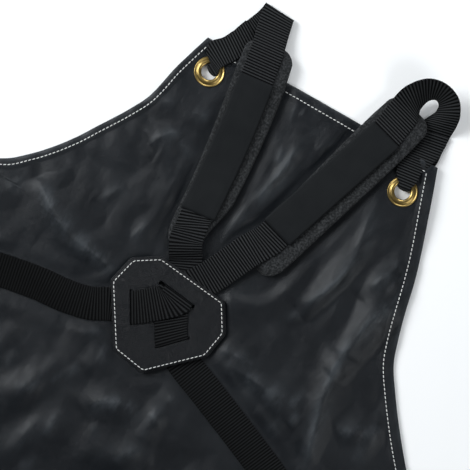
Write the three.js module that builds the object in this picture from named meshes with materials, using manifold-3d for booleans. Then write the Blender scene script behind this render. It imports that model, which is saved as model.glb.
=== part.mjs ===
import * as THREE from 'three';
import Module from 'manifold-3d';
import { mergeVertices } from 'three/addons/utils/BufferGeometryUtils.js';

// A leather welding apron with a cross-back webbing harness, lying flat with its inner side up.
// Millimetres. X runs across the bib, Y towards its top hem and Z up from the floor.
// The origin is on the underside of the leather, at the middle of the waist.

const wasm = await Module();
wasm.setup();

// Leather body
const apronLength = 965;
const bodyWidth = 630;
const waistDrop = 300;
const leatherThickness = 1.5;
const hemThickness = 3;
const hemWidth = 10;
const hemStep = 1.2;
const foldHeight = 8;
const foldSpread = 20;
const foldMargin = 15;
const foldEase = 22;
const foldFade = 0.6;
const hemSpreadLimit = 0.5;

// Brass eyelets
const eyeletHole = 18.4;
const eyeletBarrelWall = 0.8;
const eyeletFlangeWidth = 8.1;
const eyeletWasherWidth = 5.3;
const eyeletFlangeThickness = 0.8;
const eyeletCollarHeight = 2;
const eyeletPlateauWidth = 25;
const eyeletPlateauEase = 52;

// Webbing
const webbingWidth = 38;
const webbingThickness = 1.4;

// Shoulder pads and their facing
const padLength = 254;
const padWidth = 58;
const padThickness = 8;
const padSetback = 43;
const panelLength = 166;
const panelThickness = 1.2;
const panelMargin = 1.6;
const strapTuck = 12;
const padRestReach = 12;
const padTopShare = 0.03;

// Back plate
const plateWidth = 127;
const plateLayerThickness = 1.4;
const plateLayerInset = 2.4;
const plateSlotMargin = 1.4;

// Clearances
const floorGap = 0.3;
const seatGap = 0.4;
const layerGap = 0.8;
const padGap = 0.6;
const padEndGap = 3.5;

// Fineness of the facets
const bodyColumns = 23;
const armholeRows = 24;
const sideRows = 19;
const roundSides = 20;
const foldSteps = 8;
const panelSteps = 10;
const longPadSection = 0.1;
const loopStep = 14;
const loopSegments = 4;
const throatSteps = 6;
const strapStep = 20;
const strapSegments = 1;

const { clamp, lerp, smoothstep, degToRad } = THREE.MathUtils;
const halfBody = bodyWidth / 2;
const halfWebbing = webbingThickness / 2;
const halfPlate = plateWidth / 2;

// Places on the leather are given across in half body widths and down in apron lengths from the top hem.
const placeAt = (across, down) => new THREE.Vector2(across * halfBody, waistDrop - down * apronLength);

// The bib corners are lifted by the webbing that passes under them and by the eyelet's washer.
const cornerRise = floorGap + webbingThickness + seatGap + eyeletFlangeThickness + floorGap + seatGap;

// Side edges of the leather: armholes first, then the sides below the flank corners.
const armholes = [
  { leftAcross: -0.463, leftDown: -0.001, rightAcross: 0.486, rightDown: -0.003 },
  { leftAcross: -0.49, leftDown: 0.027, rightAcross: 0.52, rightDown: 0.028 },
  { leftAcross: -0.51, leftDown: 0.05, rightAcross: 0.54, rightDown: 0.047 },
  { leftAcross: -0.54, leftDown: 0.092, rightAcross: 0.591, rightDown: 0.095 },
  { leftAcross: -0.589, leftDown: 0.123, rightAcross: 0.62, rightDown: 0.127 },
  { leftAcross: -0.643, leftDown: 0.151, rightAcross: 0.645, rightDown: 0.162 },
  { leftAcross: -0.698, leftDown: 0.179, rightAcross: 0.673, rightDown: 0.195 },
  { leftAcross: -0.758, leftDown: 0.204, rightAcross: 0.703, rightDown: 0.222 },
  { leftAcross: -0.81, leftDown: 0.222, rightAcross: 0.765, rightDown: 0.253 },
  { leftAcross: -0.87, leftDown: 0.239, rightAcross: 0.86, rightDown: 0.294 },
  { leftAcross: -0.965, leftDown: 0.254, rightAcross: 1.01, rightDown: 0.352 },
];
const sides = [
  { leftAcross: -0.965, leftDown: 0.254, rightAcross: 1.01, rightDown: 0.352 },
  { leftAcross: -0.985, leftDown: 0.31, rightAcross: 0.997, rightDown: 0.41 },
  { leftAcross: -1.0, leftDown: 0.42, rightAcross: 0.97, rightDown: 0.51 },
  { leftAcross: -1.06, leftDown: 0.7, rightAcross: 0.9, rightDown: 0.76 },
  { leftAcross: -1.14, leftDown: 0.977, rightAcross: 0.85, rightDown: 1.013 },
];

// Eyelet centres.
const eyeletPlaces = {
  left: placeAt(-0.397, 0.033),
  right: placeAt(0.419, 0.0415),
};

// Top of an eyelet from its rim to its bore, in flange widths and in the collar's height over the flange.
const collarProfile = [
  { inward: 0, up: 0.27 },
  { inward: 0.13, up: 0.27 },
  { inward: 0.32, up: 0 },
  { inward: 0.42, up: 0.6 },
  { inward: 0.66, up: 1 },
  { inward: 0.9, up: 0.7 },
  { inward: 1, up: 0 },
];

// Shoulder pads: top end and lean of the axis, then in pad widths its bow and the facing's offset at
// the facing's two ends, how far the webbing veers aside above the facing for each length of it, and
// the share by which the pad's inner half narrows at its lower end.
const padPlaces = {
  left: {
    top: placeAt(-0.2476, -0.0311),
    lean: 6.45,
    bow: 0.086,
    topOffset: -0.06,
    endOffset: -0.07,
    veer: 0,
    taper: 0.42,
  },
  right: {
    top: placeAt(0.3111, -0.0487),
    lean: -15.75,
    bow: 0,
    topOffset: -0.05,
    endOffset: -0.17,
    veer: 0.18,
    taper: 0,
  },
};
const taperReach = { from: 0.7, to: 0.93 };

// Pad outline and thickness along its length, in half pad widths and pad thicknesses.
const padSections = [
  { along: 0, width: 0.74, thickness: 0.45 },
  { along: 0.018, width: 0.9, thickness: 0.8 },
  { along: 0.05, width: 1.0, thickness: 1.0 },
  { along: 0.16, width: 1.04, thickness: 1.0 },
  { along: 0.32, width: 1.03, thickness: 1.0 },
  { along: 0.5, width: 1.0, thickness: 1.0 },
  { along: 0.68, width: 0.96, thickness: 1.0 },
  { along: 0.84, width: 0.94, thickness: 1.0 },
  { along: 0.93, width: 0.9, thickness: 1.0 },
  { along: 0.98, width: 0.76, thickness: 0.8 },
  { along: 1, width: 0.58, thickness: 0.45 },
];
const padProfile = [
  { across: -1, top: 0.55, bottom: 0.3 },
  { across: -0.93, top: 0.86, bottom: 0.06 },
  { across: -0.78, top: 1, bottom: 0 },
  { across: 0, top: 1, bottom: 0 },
  { across: 0.78, top: 1, bottom: 0 },
  { across: 0.93, top: 0.86, bottom: 0.06 },
  { across: 1, top: 0.55, bottom: 0.3 },
];

// Back plate: centre, corners and slots, in half plate widths.
const plateCentre = placeAt(-0.1016, 0.3109);
const plateCorners = [
  { across: -1.01, up: 0.67 },
  { across: -0.57, up: 0.95 },
  { across: 0.83, up: 0.81 },
  { across: 1.13, up: 0.32 },
  { across: 1.04, up: -0.2 },
  { across: 0.18, up: -1.03 },
  { across: -0.46, up: -0.93 },
  { across: -1.14, up: 0.14 },
];
const slotPlaces = {
  shared: { across: 0.016, up: 0.496, turn: -6.3, extra: 0.12, straps: 2 },
  left: { across: -0.575, up: -0.11, turn: -59.3, extra: 0, straps: 1 },
  bottom: { across: 0.378, up: -0.283, turn: 46.2, extra: 0, straps: 1 },
};

// Fold crests in the leather, from end to end by way of a middle point.
const folds = [
  { fromX: -0.741, fromY: 0.241, midX: -0.62, midY: 0.275, toX: -0.34, toY: 0.289, spread: 1.1, height: 0.9 },
  { fromX: -0.451, fromY: 0.142, midX: -0.4, midY: 0.105, toX: -0.33, toY: 0.17, spread: 0.8, height: 0.5 },
  { fromX: 0.005, fromY: 0.03, midX: 0.05, midY: 0.1, toX: -0.03, toY: 0.18, spread: 0.8, height: 0.6 },
  { fromX: 0.592, fromY: 0.13, midX: 0.52, midY: 0.21, toX: 0.528, toY: 0.27, spread: 0.9, height: 1.0 },
  { fromX: 0.528, fromY: 0.24, midX: 0.531, midY: 0.303, toX: 0.62, toY: 0.39, spread: 0.9, height: 1.0 },
  { fromX: 0.314, fromY: 0.225, midX: 0.41, midY: 0.16, toX: 0.4, toY: 0.08, spread: 0.8, height: 0.8 },
  { fromX: 0.47, fromY: 0.175, midX: 0.515, midY: 0.136, toX: 0.57, toY: 0.1, spread: 0.7, height: 0.6 },
  { fromX: 0.16, fromY: 0.312, midX: 0.317, midY: 0.33, toX: 0.511, toY: 0.334, spread: 1.0, height: 0.7 },
  { fromX: 0.635, fromY: 0.325, midX: 0.69, midY: 0.306, toX: 0.8, toY: 0.293, spread: 0.8, height: 0.6 },
  { fromX: -0.19, fromY: 0.455, midX: -0.12, midY: 0.416, toX: 0.02, toY: 0.425, spread: 0.9, height: 0.9 },
  { fromX: 0.06, fromY: 0.45, midX: 0.04, midY: 0.42, toX: 0.06, toY: 0.39, spread: 0.8, height: 0.7 },
  { fromX: -0.15, fromY: 0.5, midX: -0.03, midY: 0.48, toX: 0.12, toY: 0.455, spread: 0.8, height: 0.6 },
  { fromX: -0.34, fromY: 0.55, midX: -0.31, midY: 0.49, toX: -0.22, toY: 0.46, spread: 0.9, height: 0.7 },
  { fromX: -0.45, fromY: 0.49, midX: -0.39, midY: 0.46, toX: -0.36, toY: 0.41, spread: 0.9, height: 0.8 },
  { fromX: -0.25, fromY: 0.41, midX: -0.22, midY: 0.39, toX: -0.24, toY: 0.36, spread: 0.7, height: 0.5 },
  { fromX: -0.6, fromY: 0.62, midX: -0.45, midY: 0.66, toX: -0.42, toY: 0.78, spread: 1.3, height: 0.7 },
  { fromX: 0.2, fromY: 0.6, midX: 0.3, midY: 0.68, toX: 0.25, toY: 0.82, spread: 1.4, height: 0.8 },
  { fromX: -0.1, fromY: 0.75, midX: -0.15, midY: 0.85, toX: -0.3, toY: 0.95, spread: 1.3, height: 0.7 },
];

// Shared shape helpers

function sampleTable(rows, key, at, column) {
  const last = rows.length - 1;
  const next = clamp(rows.findIndex((row) => row[key] > at), 1, last);
  const before = rows[next - 1];
  const after = rows[next];
  if (at >= rows[last][key]) {
    return rows[last][column];
  }
  const share = clamp((at - before[key]) / (after[key] - before[key]), 0, 1);
  return lerp(before[column], after[column], share);
}

function distanceToPath(point, path) {
  let best = { distance: Infinity, along: 0 };
  for (let i = 0; i < path.length - 1; i += 1) {
    const step = path[i + 1].clone().sub(path[i]);
    const offset = point.clone().sub(path[i]);
    const share = clamp(offset.dot(step) / step.lengthSq(), 0, 1);
    const distance = offset.sub(step.multiplyScalar(share)).length();
    if (distance < best.distance) {
      best = { distance, along: (i + share) / (path.length - 1) };
    }
  }
  return best;
}

// One closed body between two grids of points that share their rows and columns.
function sheetSolid(top, bottom) {
  const rows = top.length;
  const columns = top[0].length;
  const positions = [];
  const indices = [];
  const index = (side, row, column) => (side * rows + row) * columns + column;
  for (const grid of [top, bottom]) {
    for (const row of grid) {
      for (const point of row) {
        positions.push(point.x, point.y, point.z);
      }
    }
  }
  const quad = (a, b, c, d) => indices.push(a, b, c, a, c, d);
  for (let r = 0; r < rows - 1; r += 1) {
    for (let c = 0; c < columns - 1; c += 1) {
      quad(index(0, r, c), index(0, r + 1, c), index(0, r + 1, c + 1), index(0, r, c + 1));
      quad(index(1, r, c), index(1, r, c + 1), index(1, r + 1, c + 1), index(1, r + 1, c));
    }
  }
  const rim = [];
  for (let c = 0; c < columns - 1; c += 1) {
    rim.push([0, c, 0, c + 1]);
  }
  for (let r = 0; r < rows - 1; r += 1) {
    rim.push([r, columns - 1, r + 1, columns - 1]);
  }
  for (let c = columns - 1; c > 0; c -= 1) {
    rim.push([rows - 1, c, rows - 1, c - 1]);
  }
  for (let r = rows - 1; r > 0; r -= 1) {
    rim.push([r, 0, r - 1, 0]);
  }
  for (const [rowA, columnA, rowB, columnB] of rim) {
    quad(index(0, rowA, columnA), index(0, rowB, columnB), index(1, rowB, columnB), index(1, rowA, columnA));
  }
  const geometry = new THREE.BufferGeometry();
  geometry.setAttribute('position', new THREE.Float32BufferAttribute(positions, 3));
  geometry.setIndex(indices);
  return geometry;
}

function toManifold(geometry) {
  const bare = geometry.clone();
  bare.deleteAttribute('normal');
  bare.deleteAttribute('uv');
  const merged = mergeVertices(bare);
  return new wasm.Manifold(new wasm.Mesh({
    numProp: 3,
    vertProperties: new Float32Array(merged.attributes.position.array),
    triVerts: new Uint32Array(merged.index.array),
  }));
}

function fromManifold(manifold) {
  const mesh = manifold.getMesh();
  const geometry = new THREE.BufferGeometry();
  geometry.setAttribute('position', new THREE.Float32BufferAttribute(mesh.vertProperties, 3));
  geometry.setIndex([...mesh.triVerts]);
  return geometry;
}

// Pads: axis, place across it, and the space that the harness keeps flat in the leather

function padAxis(pad, along) {
  const lean = degToRad(pad.lean);
  const direction = new THREE.Vector2(Math.sin(lean), -Math.cos(lean));
  const sideways = new THREE.Vector2(-direction.y, direction.x);
  const centre = pad.top.clone().addScaledVector(direction, along * padLength);
  return {
    centre: centre.addScaledVector(sideways, pad.bow * padWidth * Math.sin(Math.PI * clamp(along, 0, 1))),
    direction,
    sideways,
  };
}

function padPlace(pad, along, offset) {
  const { centre, sideways } = padAxis(pad, along);
  return centre.addScaledVector(sideways, offset);
}

// Free stretches of the cross straps on plan: from each pad to the plate's shared slot in shares of the
// way and webbing widths aside of it, and from the plate's other slots to the hips.
const strapRoutes = {
  left: {
    toPlate: [
      { share: 0.2368, aside: -0.0705 },
      { share: 0.3908, aside: -0.03 },
      { share: 0.5574, aside: 0.0402 },
      { share: 0.7127, aside: 0.069 },
    ],
    toHip: [
      { across: 0.046, down: 0.344, rise: 0 },
      { across: 0.161, down: 0.359, rise: 0 },
      { across: 0.352, down: 0.3845, rise: 0 },
      { across: 0.495, down: 0.4045, rise: 0 },
      { across: 0.73, down: 0.44, rise: 0 },
      { across: 0.9, down: 0.4665, rise: 1 },
      { across: 0.957, down: 0.476, rise: 1 },
    ],
  },
  right: {
    toPlate: [
      { share: 0.211, aside: -0.0209 },
      { share: 0.4518, aside: 0.0312 },
      { share: 0.7382, aside: 0.062 },
    ],
    toHip: [
      { across: -0.285, down: 0.3265, rise: 0 },
      { across: -0.354, down: 0.338, rise: 0 },
      { across: -0.446, down: 0.345, rise: 0 },
      { across: -0.543, down: 0.348, rise: 0 },
      { across: -0.665, down: 0.355, rise: 0 },
      { across: -0.84, down: 0.369, rise: 0 },
      { across: -0.93, down: 0.3795, rise: 1 },
      { across: -0.974, down: 0.3845, rise: 1 },
    ],
  },
};

// Height of the leather's underside over the floor: lifted corners and folds.
function cornerLift(point) {
  let lift = 0;
  for (const centre of Object.values(eyeletPlaces)) {
    const plateau = eyeletHole / 2 + eyeletFlangeWidth + eyeletPlateauWidth;
    const fall = smoothstep(point.distanceTo(centre), plateau, plateau + eyeletPlateauEase);
    lift += cornerRise * (1 - fall);
  }
  return lift;
}

function leatherRise(x, y) {
  const point = new THREE.Vector2(x, y);
  let keep = 1;
  for (const cover of harnessCovers) {
    const reach = cover.half + foldMargin;
    keep *= smoothstep(distanceToPath(point, cover.path).distance, reach, reach + foldEase);
  }
  let rise = 0;
  if (keep > 0) {
    for (const fold of foldPaths) {
      const { distance, along } = distanceToPath(point, fold.path);
      const bell = Math.exp(-((distance / (fold.spread * foldSpread)) ** 2));
      rise += fold.height * foldHeight * bell * Math.sin(Math.PI * clamp(along, 0, 1)) ** foldFade;
    }
  }
  return cornerLift(point) + rise * keep;
}

// Leather body: a grid of rows from edge to edge, thicker in the turned hems

function edgeCurve(rows, side) {
  return new THREE.CatmullRomCurve3(rows.map((row) => {
    const place = placeAt(row[`${side}Across`], row[`${side}Down`]);
    return new THREE.Vector3(place.x, place.y, 0);
  }), false, 'centripetal');
}

function bodyRows() {
  const parts = [
    { rows: armholes, steps: armholeRows },
    { rows: sides, steps: sideRows },
  ];
  const ends = [];
  for (const { rows, steps } of parts) {
    const left = edgeCurve(rows, 'left');
    const right = edgeCurve(rows, 'right');
    for (let i = ends.length ? 1 : 0; i <= steps; i += 1) {
      ends.push({ left: left.getPoint(i / steps), right: right.getPoint(i / steps) });
    }
  }
  const inset = (from, to, distance) => {
    const share = distance / from.left.distanceTo(to.left);
    return { left: from.left.clone().lerp(to.left, share), right: from.right.clone().lerp(to.right, share) };
  };
  const count = ends.length;
  const hemRows = (edge, next) => [
    { ...inset(edge, next, hemWidth), hem: true },
    { ...inset(edge, next, hemWidth + hemStep), hem: false },
  ];
  return [
    { ...ends[0], hem: true },
    ...hemRows(ends[0], ends[1]),
    ...ends.slice(1, count - 1).map((row) => ({ ...row, hem: false })),
    ...hemRows(ends[count - 1], ends[count - 2]).reverse(),
    { ...ends[count - 1], hem: true },
  ];
}

function bodySolid() {
  const rows = bodyRows();
  const top = [];
  const bottom = [];
  rows.forEach((row, r) => {
    const span = row.right.clone().sub(row.left);
    const before = rows[Math.max(r - 1, 0)];
    const after = rows[Math.min(r + 1, rows.length - 1)];
    const bandShare = (side) => {
      const edge = after[side].clone().sub(before[side]).normalize();
      const sine = Math.abs(edge.cross(span.clone().normalize()).z);
      return 1 / Math.max(sine, hemSpreadLimit) / span.length();
    };
    const stations = [{ share: 0, hem: true }];
    stations.push({ share: hemWidth * bandShare('left'), hem: true });
    const first = (hemWidth + hemStep) * bandShare('left');
    const last = 1 - (hemWidth + hemStep) * bandShare('right');
    for (let c = 0; c <= bodyColumns; c += 1) {
      stations.push({ share: lerp(first, last, c / bodyColumns), hem: false });
    }
    stations.push({ share: 1 - hemWidth * bandShare('right'), hem: true }, { share: 1, hem: true });
    const topRow = [];
    const bottomRow = [];
    for (const station of stations) {
      const point = row.left.clone().addScaledVector(span, station.share);
      point.z = leatherRise(point.x, point.y);
      bottomRow.push(point);
      const thickness = row.hem || station.hem ? hemThickness : leatherThickness;
      topRow.push(point.clone().setZ(point.z + thickness));
    }
    top.push(topRow);
    bottom.push(bottomRow);
  });
  let body = toManifold(sheetSolid(top, bottom));
  const holeRadius = eyeletHole / 2 + eyeletBarrelWall + floorGap;
  const holeDepth = 2 * (cornerRise + foldHeight + hemThickness);
  for (const centre of Object.values(eyeletPlaces)) {
    const cutter = new THREE.CylinderGeometry(holeRadius, holeRadius, holeDepth, roundSides);
    cutter.rotateX(Math.PI / 2);
    cutter.translate(centre.x, centre.y, 0);
    body = body.subtract(toManifold(cutter));
  }
  return fromManifold(body);
}

// Eyelets: a flange and rolled collar above the leather, a barrel through it and a washer below

const eyeletTop = cornerRise + leatherThickness + floorGap;

function eyeletSolid() {
  const bore = eyeletHole / 2;
  const barrel = bore + eyeletBarrelWall;
  const rim = bore + eyeletFlangeWidth;
  const washer = bore + eyeletWasherWidth;
  const under = cornerRise - floorGap;
  const flange = eyeletTop + eyeletFlangeThickness;
  const collar = eyeletTop + eyeletCollarHeight;
  const outline = [
    [bore, under - eyeletFlangeThickness],
    [washer, under - eyeletFlangeThickness],
    [washer, under],
    [barrel, under],
    [barrel, eyeletTop],
    [rim, eyeletTop],
    ...collarProfile.map((row) => [rim - row.inward * eyeletFlangeWidth, lerp(flange, collar, row.up)]),
  ];
  outline.push(outline[0]);
  const geometry = new THREE.LatheGeometry(outline.map(([r, z]) => new THREE.Vector2(r, z)), roundSides);
  geometry.rotateX(Math.PI / 2);
  return fromManifold(toManifold(geometry));
}

// Pads rest on the highest leather, hem or webbing near them

const looseStack = floorGap + 2 * webbingThickness + layerGap;
const hemFall = 0.1;

function groundTop(x, y) {
  const beyond = y - waistDrop;
  const thickness = beyond > -hemWidth - hemStep ? hemThickness : leatherThickness;
  const height = leatherRise(x, Math.min(y, waistDrop)) + thickness;
  return beyond > 0 ? Math.max(looseStack, height - hemFall * beyond) : height;
}

function restHeight(x, y) {
  let height = 0;
  for (const dx of [-padRestReach, 0, padRestReach]) {
    for (const dy of [-padRestReach, 0, padRestReach]) {
      height = Math.max(height, groundTop(x + dx, y + dy));
    }
  }
  return height + padGap;
}

// Underside of a pad at one place along it: a straight line from side to side, clear of what is below.
function padBase(pad, along) {
  const half = padWidth / 2;
  const needs = [0, 0.25, 0.5, 0.75, 1].map((share) => {
    const place = padPlace(pad, along, lerp(-half, half, share));
    return { share, height: restHeight(place.x, place.y) };
  });
  const left = needs[0].height;
  const right = needs[needs.length - 1].height;
  const lift = Math.max(...needs.map((need) => need.height - lerp(left, right, need.share)));
  return { left: left + lift, right: right + lift };
}

function padPoint(pad, along, offset, lift) {
  const place = padPlace(pad, clamp(along, 0, 1), offset);
  const base = padBase(pad, clamp(along, 0, 1));
  const share = (offset / (padWidth / 2) + 1) / 2;
  return new THREE.Vector3(place.x, place.y, lerp(base.left, base.right, share) + lift);
}

const padRows = [];
for (let i = 0; i < padSections.length - 1; i += 1) {
  const from = padSections[i].along;
  const to = padSections[i + 1].along;
  const steps = to - from > longPadSection ? 2 : 1;
  for (let s = 0; s < steps; s += 1) {
    padRows.push(lerp(from, to, s / steps));
  }
}
padRows.push(1);

function padSolid(pad) {
  const grid = (column) => padRows.map((along) => {
    const width = sampleTable(padSections, 'along', along, 'width') * padWidth / 2;
    const inner = width * (1 - pad.taper * smoothstep(along, taperReach.from, taperReach.to));
    const thickness = sampleTable(padSections, 'along', along, 'thickness');
    return padProfile.map((row) => {
      const half = row.across > 0 ? inner : width;
      return padPoint(pad, along, row.across * half, row[column] * thickness * padThickness);
    });
  });
  return sheetSolid(grid('top'), grid('bottom'));
}

// Webbing lies on the pad, under the facing, and follows the pad's thin ends.
function strapLift(along) {
  const thickness = sampleTable(padSections, 'along', along, 'thickness');
  return thickness * padThickness + padGap + (1 - thickness) * padEndGap + halfWebbing;
}

function facingOffset(pad, along) {
  const share = (along * padLength - padSetback) / panelLength;
  return lerp(pad.topOffset, pad.endOffset, share) * padWidth;
}

function strapOffset(pad, along) {
  return facingOffset(pad, along) - pad.veer * Math.max(0, padSetback - along * padLength);
}

function panelSolid(pad) {
  const from = padSetback / padLength;
  const to = (padSetback + panelLength) / padLength;
  const half = webbingWidth / 2 + panelMargin;
  const lift = padThickness + 2 * padGap + webbingThickness + seatGap;
  const grid = (above) => Array.from({ length: panelSteps + 1 }, (_, i) => {
    const along = lerp(from, to, i / panelSteps);
    const offset = facingOffset(pad, along);
    return [-half, 0, half].map((across) => padPoint(pad, along, offset + across, lift + above));
  });
  return sheetSolid(grid(panelThickness), grid(0));
}

// Webbing: a band swept through stations, each with its centre, width and direction across

function station(point, width, across = null, cup = 0) {
  return { point, width, across, cup };
}

function bandSolid(stations, stepLength, segments) {
  const curve = new THREE.CatmullRomCurve3(stations.map((s) => s.point), false, 'centripetal');
  const last = stations.length - 1;
  const samples = [];
  for (let i = 0; i < last; i += 1) {
    const steps = Math.ceil(stations[i].point.distanceTo(stations[i + 1].point) / stepLength);
    for (let s = 0; s < steps; s += 1) {
      samples.push({ index: i, share: s / steps });
    }
  }
  samples.push({ index: last - 1, share: 1 });
  const acrossAt = (s, tangent) => s.across ?? new THREE.Vector3(-tangent.y, tangent.x, 0).normalize();
  const top = [];
  const bottom = [];
  for (const { index, share } of samples) {
    const at = (index + share) / last;
    const tangent = curve.getTangent(at);
    const from = stations[index];
    const to = stations[index + 1];
    const across = acrossAt(from, tangent).clone().lerp(acrossAt(to, tangent), share).normalize();
    const normal = tangent.clone().cross(across).normalize();
    const centre = curve.getPoint(at);
    const width = lerp(from.width, to.width, share);
    const cup = lerp(from.cup, to.cup, share);
    const topRow = [];
    const bottomRow = [];
    for (let c = 0; c <= segments; c += 1) {
      const offset = (c / segments) * 2 - 1;
      const middle = centre.clone().addScaledVector(across, offset * width / 2);
      middle.addScaledVector(normal, cup * offset ** 2);
      topRow.push(middle.clone().addScaledVector(normal, halfWebbing));
      bottomRow.push(middle.clone().addScaledVector(normal, -halfWebbing));
    }
    top.push(topRow);
    bottom.push(bottomRow);
  }
  return sheetSolid(top, bottom);
}

// Stations on a pad, heading to its top end (1) or its lower end (-1).
function padStations(pad, tuck, reach, heading) {
  const alongs = padRows.filter((along) => (along - tuck) * heading < 0 && (along - reach) * heading > 0);
  const ordered = heading > 0 ? alongs.reverse() : alongs;
  return [tuck, ...ordered, reach].map((along) => {
    const offset = strapOffset(pad, along);
    const left = padPoint(pad, along, offset - 1, 0);
    const right = padPoint(pad, along, offset + 1, 0);
    const across = left.sub(right).multiplyScalar(heading).normalize();
    return station(padPoint(pad, along, offset, strapLift(along)), webbingWidth, across);
  });
}

// Eyelet loops: centre in webbing widths from the eyelet's, height of the lower edge in webbing
// thicknesses over the floor, width in webbing widths, turn of the band on plan and its bank. The band
// turns up through the eyelet at its set-off from the hole's middle, in shares of the hole.
const loopRoutes = {
  left: {
    down: [
      { across: 1.03, up: 2.03, height: 5.7, width: 1, turn: 6, bank: 0 },
      { across: 0.93, up: 2.52, height: 3.9, width: 1, turn: -1, bank: 0 },
      { across: 0.925, up: 2.6, height: 1.95, width: 1, turn: -3, bank: 0 },
      { across: 0.92, up: 2.52, height: 0, width: 1, turn: -5, bank: 0 },
      { across: 0.84, up: 2.16, height: 0, width: 1, turn: -12, bank: 0 },
      { across: 0.6, up: 1.62, height: 0, width: 0.95, turn: -31, bank: 0 },
      { across: 0.38, up: 1.22, height: 0, width: 0.74, turn: -33, bank: 0 },
      { across: 0.19, up: 0.86, height: 0, width: 0.68, turn: -34, bank: 0 },
      { across: 0.06, up: 0.5, height: 0, width: 0.6, turn: -30, bank: 0 },
    ],
    throatTurn: -28,
    throatSetoff: 0,
    back: [
      { across: -0.06, up: 0.32, height: 'collar', width: 0.64, cup: 0.03, turn: -22 },
      { across: -0.065, up: 0.57, height: 'collar', width: 0.84, cup: 0, turn: -30 },
      { across: 0.17, up: 0.87, height: 'collar', width: 0.78, cup: 0, turn: -35 },
      { across: 0.34, up: 1.22, height: 4.3, width: 0.76, cup: 0, turn: -33 },
      { across: 0.6, up: 1.62, height: 'stacked', width: 1, cup: 0, turn: -31 },
    ],
    flip: 0,
    cupSide: 1,
  },
  right: {
    down: [
      { across: -1.09, up: 2.6, height: 6.2, width: 1, turn: -36, bank: 36 },
      { across: -0.84, up: 2.98, height: 3, width: 1, turn: -58, bank: 52 },
      { across: -0.5, up: 3.1, height: 1.5, width: 1, turn: -90, bank: 62 },
      { across: -0.17, up: 2.97, height: 0.6, width: 1, turn: -132, bank: 58 },
      { across: -0.02, up: 2.68, height: 0.3, width: 1, turn: -157, bank: 48 },
      { across: -0.04, up: 2.3, height: 0, width: 1, turn: -166, bank: 18 },
      { across: -0.06, up: 2, height: 0, width: 1, turn: -168, bank: 0 },
      { across: -0.04, up: 1.56, height: 0, width: 1, turn: -170, bank: 0 },
      { across: 0.01, up: 1.12, height: 0, width: 0.95, turn: -171, bank: 0 },
      { across: -0.05, up: 0.8, height: 0, width: 0.8, turn: -172, bank: 0 },
      { across: -0.08, up: 0.5, height: 0, width: 0.56, turn: -172, bank: 0 },
    ],
    throatTurn: -172,
    throatSetoff: 0.09,
    back: [
      { across: -0.1, up: 0.44, height: 'collar', width: 0.7, cup: 0.03, turn: -172 },
      { across: -0.16, up: 0.68, height: 'collar', width: 0.76, cup: 0, turn: -172 },
      { across: -0.05, up: 1.04, height: 'collar', width: 0.78, cup: 0, turn: -172 },
      { across: 0.01, up: 1.36, height: 3.6, width: 0.86, cup: 0, turn: -171 },
      { across: -0.04, up: 1.66, height: 'stacked', width: 1, cup: 0, turn: -169 },
      { across: -0.06, up: 1.98, height: 'stacked', width: 1, cup: 0, turn: -168 },
    ],
    flip: 180,
    cupSide: -1,
  },
};

// In the eyelet the webbing is gathered and bowed, in shares of the hole.
const throatGather = 0.8;
const throatBow = 0.12;
const throatLead = 2;
const onFloor = floorGap + halfWebbing;
const onCollar = eyeletTop + eyeletCollarHeight + seatGap + halfWebbing;
const namedHeights = { collar: onCollar, stacked: onFloor + webbingThickness + layerGap };

// Direction across a band: to the left of the apron, turned on plan, with its left edge banked up.
function bandAcross(turn, bank = 0) {
  const plan = degToRad(180 + turn);
  const tilt = degToRad(bank);
  return new THREE.Vector3(Math.cos(plan) * Math.cos(tilt), Math.sin(plan) * Math.cos(tilt), Math.sin(tilt));
}

function loopSolid(side) {
  const pad = padPlaces[side];
  const route = loopRoutes[side];
  const centre = eyeletPlaces[side];
  const place = (row, height) => new THREE.Vector3(
    centre.x + row.across * webbingWidth,
    centre.y + row.up * webbingWidth,
    height,
  );
  const tuck = (padSetback + strapTuck) / padLength;
  const stations = padStations(pad, tuck, padTopShare, 1);
  for (const row of route.down) {
    const half = Math.sin(degToRad(row.bank)) * webbingWidth * row.width / 2;
    const height = onFloor + row.height * webbingThickness + half;
    stations.push(station(place(row, height), row.width * webbingWidth, bandAcross(row.turn, row.bank)));
  }
  const throat = bandAcross(route.throatTurn);
  const heading = bandAcross(route.throatTurn - 90 - route.flip);
  const radius = (onCollar - onFloor) / 2;
  const throatOffset = route.throatSetoff * eyeletHole;
  const throatStation = (distance, height, bow) => {
    const point = new THREE.Vector3(centre.x, centre.y, height).addScaledVector(heading, distance);
    const cup = -bow * route.cupSide * throatBow * eyeletHole;
    stations.push(station(point, throatGather * eyeletHole, throat, cup));
  };
  throatStation(throatOffset + radius + throatLead, onFloor, 0);
  for (let i = 0; i <= throatSteps; i += 1) {
    const angle = lerp(-Math.PI / 2, Math.PI / 2, i / throatSteps);
    const ahead = throatOffset + radius * (1 - Math.cos(angle));
    throatStation(ahead, onFloor + radius * (1 + Math.sin(angle)), Math.cos(angle));
  }
  throatStation(throatOffset + radius + throatLead, onCollar, 0);
  for (const row of route.back) {
    const height = namedHeights[row.height] ?? onFloor + row.height * webbingThickness;
    const cup = row.cup * route.cupSide * webbingWidth;
    stations.push(station(place(row, height), row.width * webbingWidth, bandAcross(row.turn), cup));
  }
  return bandSolid(stations, loopStep, loopSegments);
}

// Levels of the webbing where it crosses under and over the back plate
const strapPitch = webbingThickness + layerGap;
const onLeather = leatherThickness + seatGap + halfWebbing;
const plateBottom = onLeather + strapPitch + halfWebbing + seatGap;
const plateTop = plateBottom + 2 * plateLayerThickness + floorGap;
const bendNear = halfWebbing + seatGap;
const bendFar = bendNear + strapPitch;
const slotLead = 4;

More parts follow.
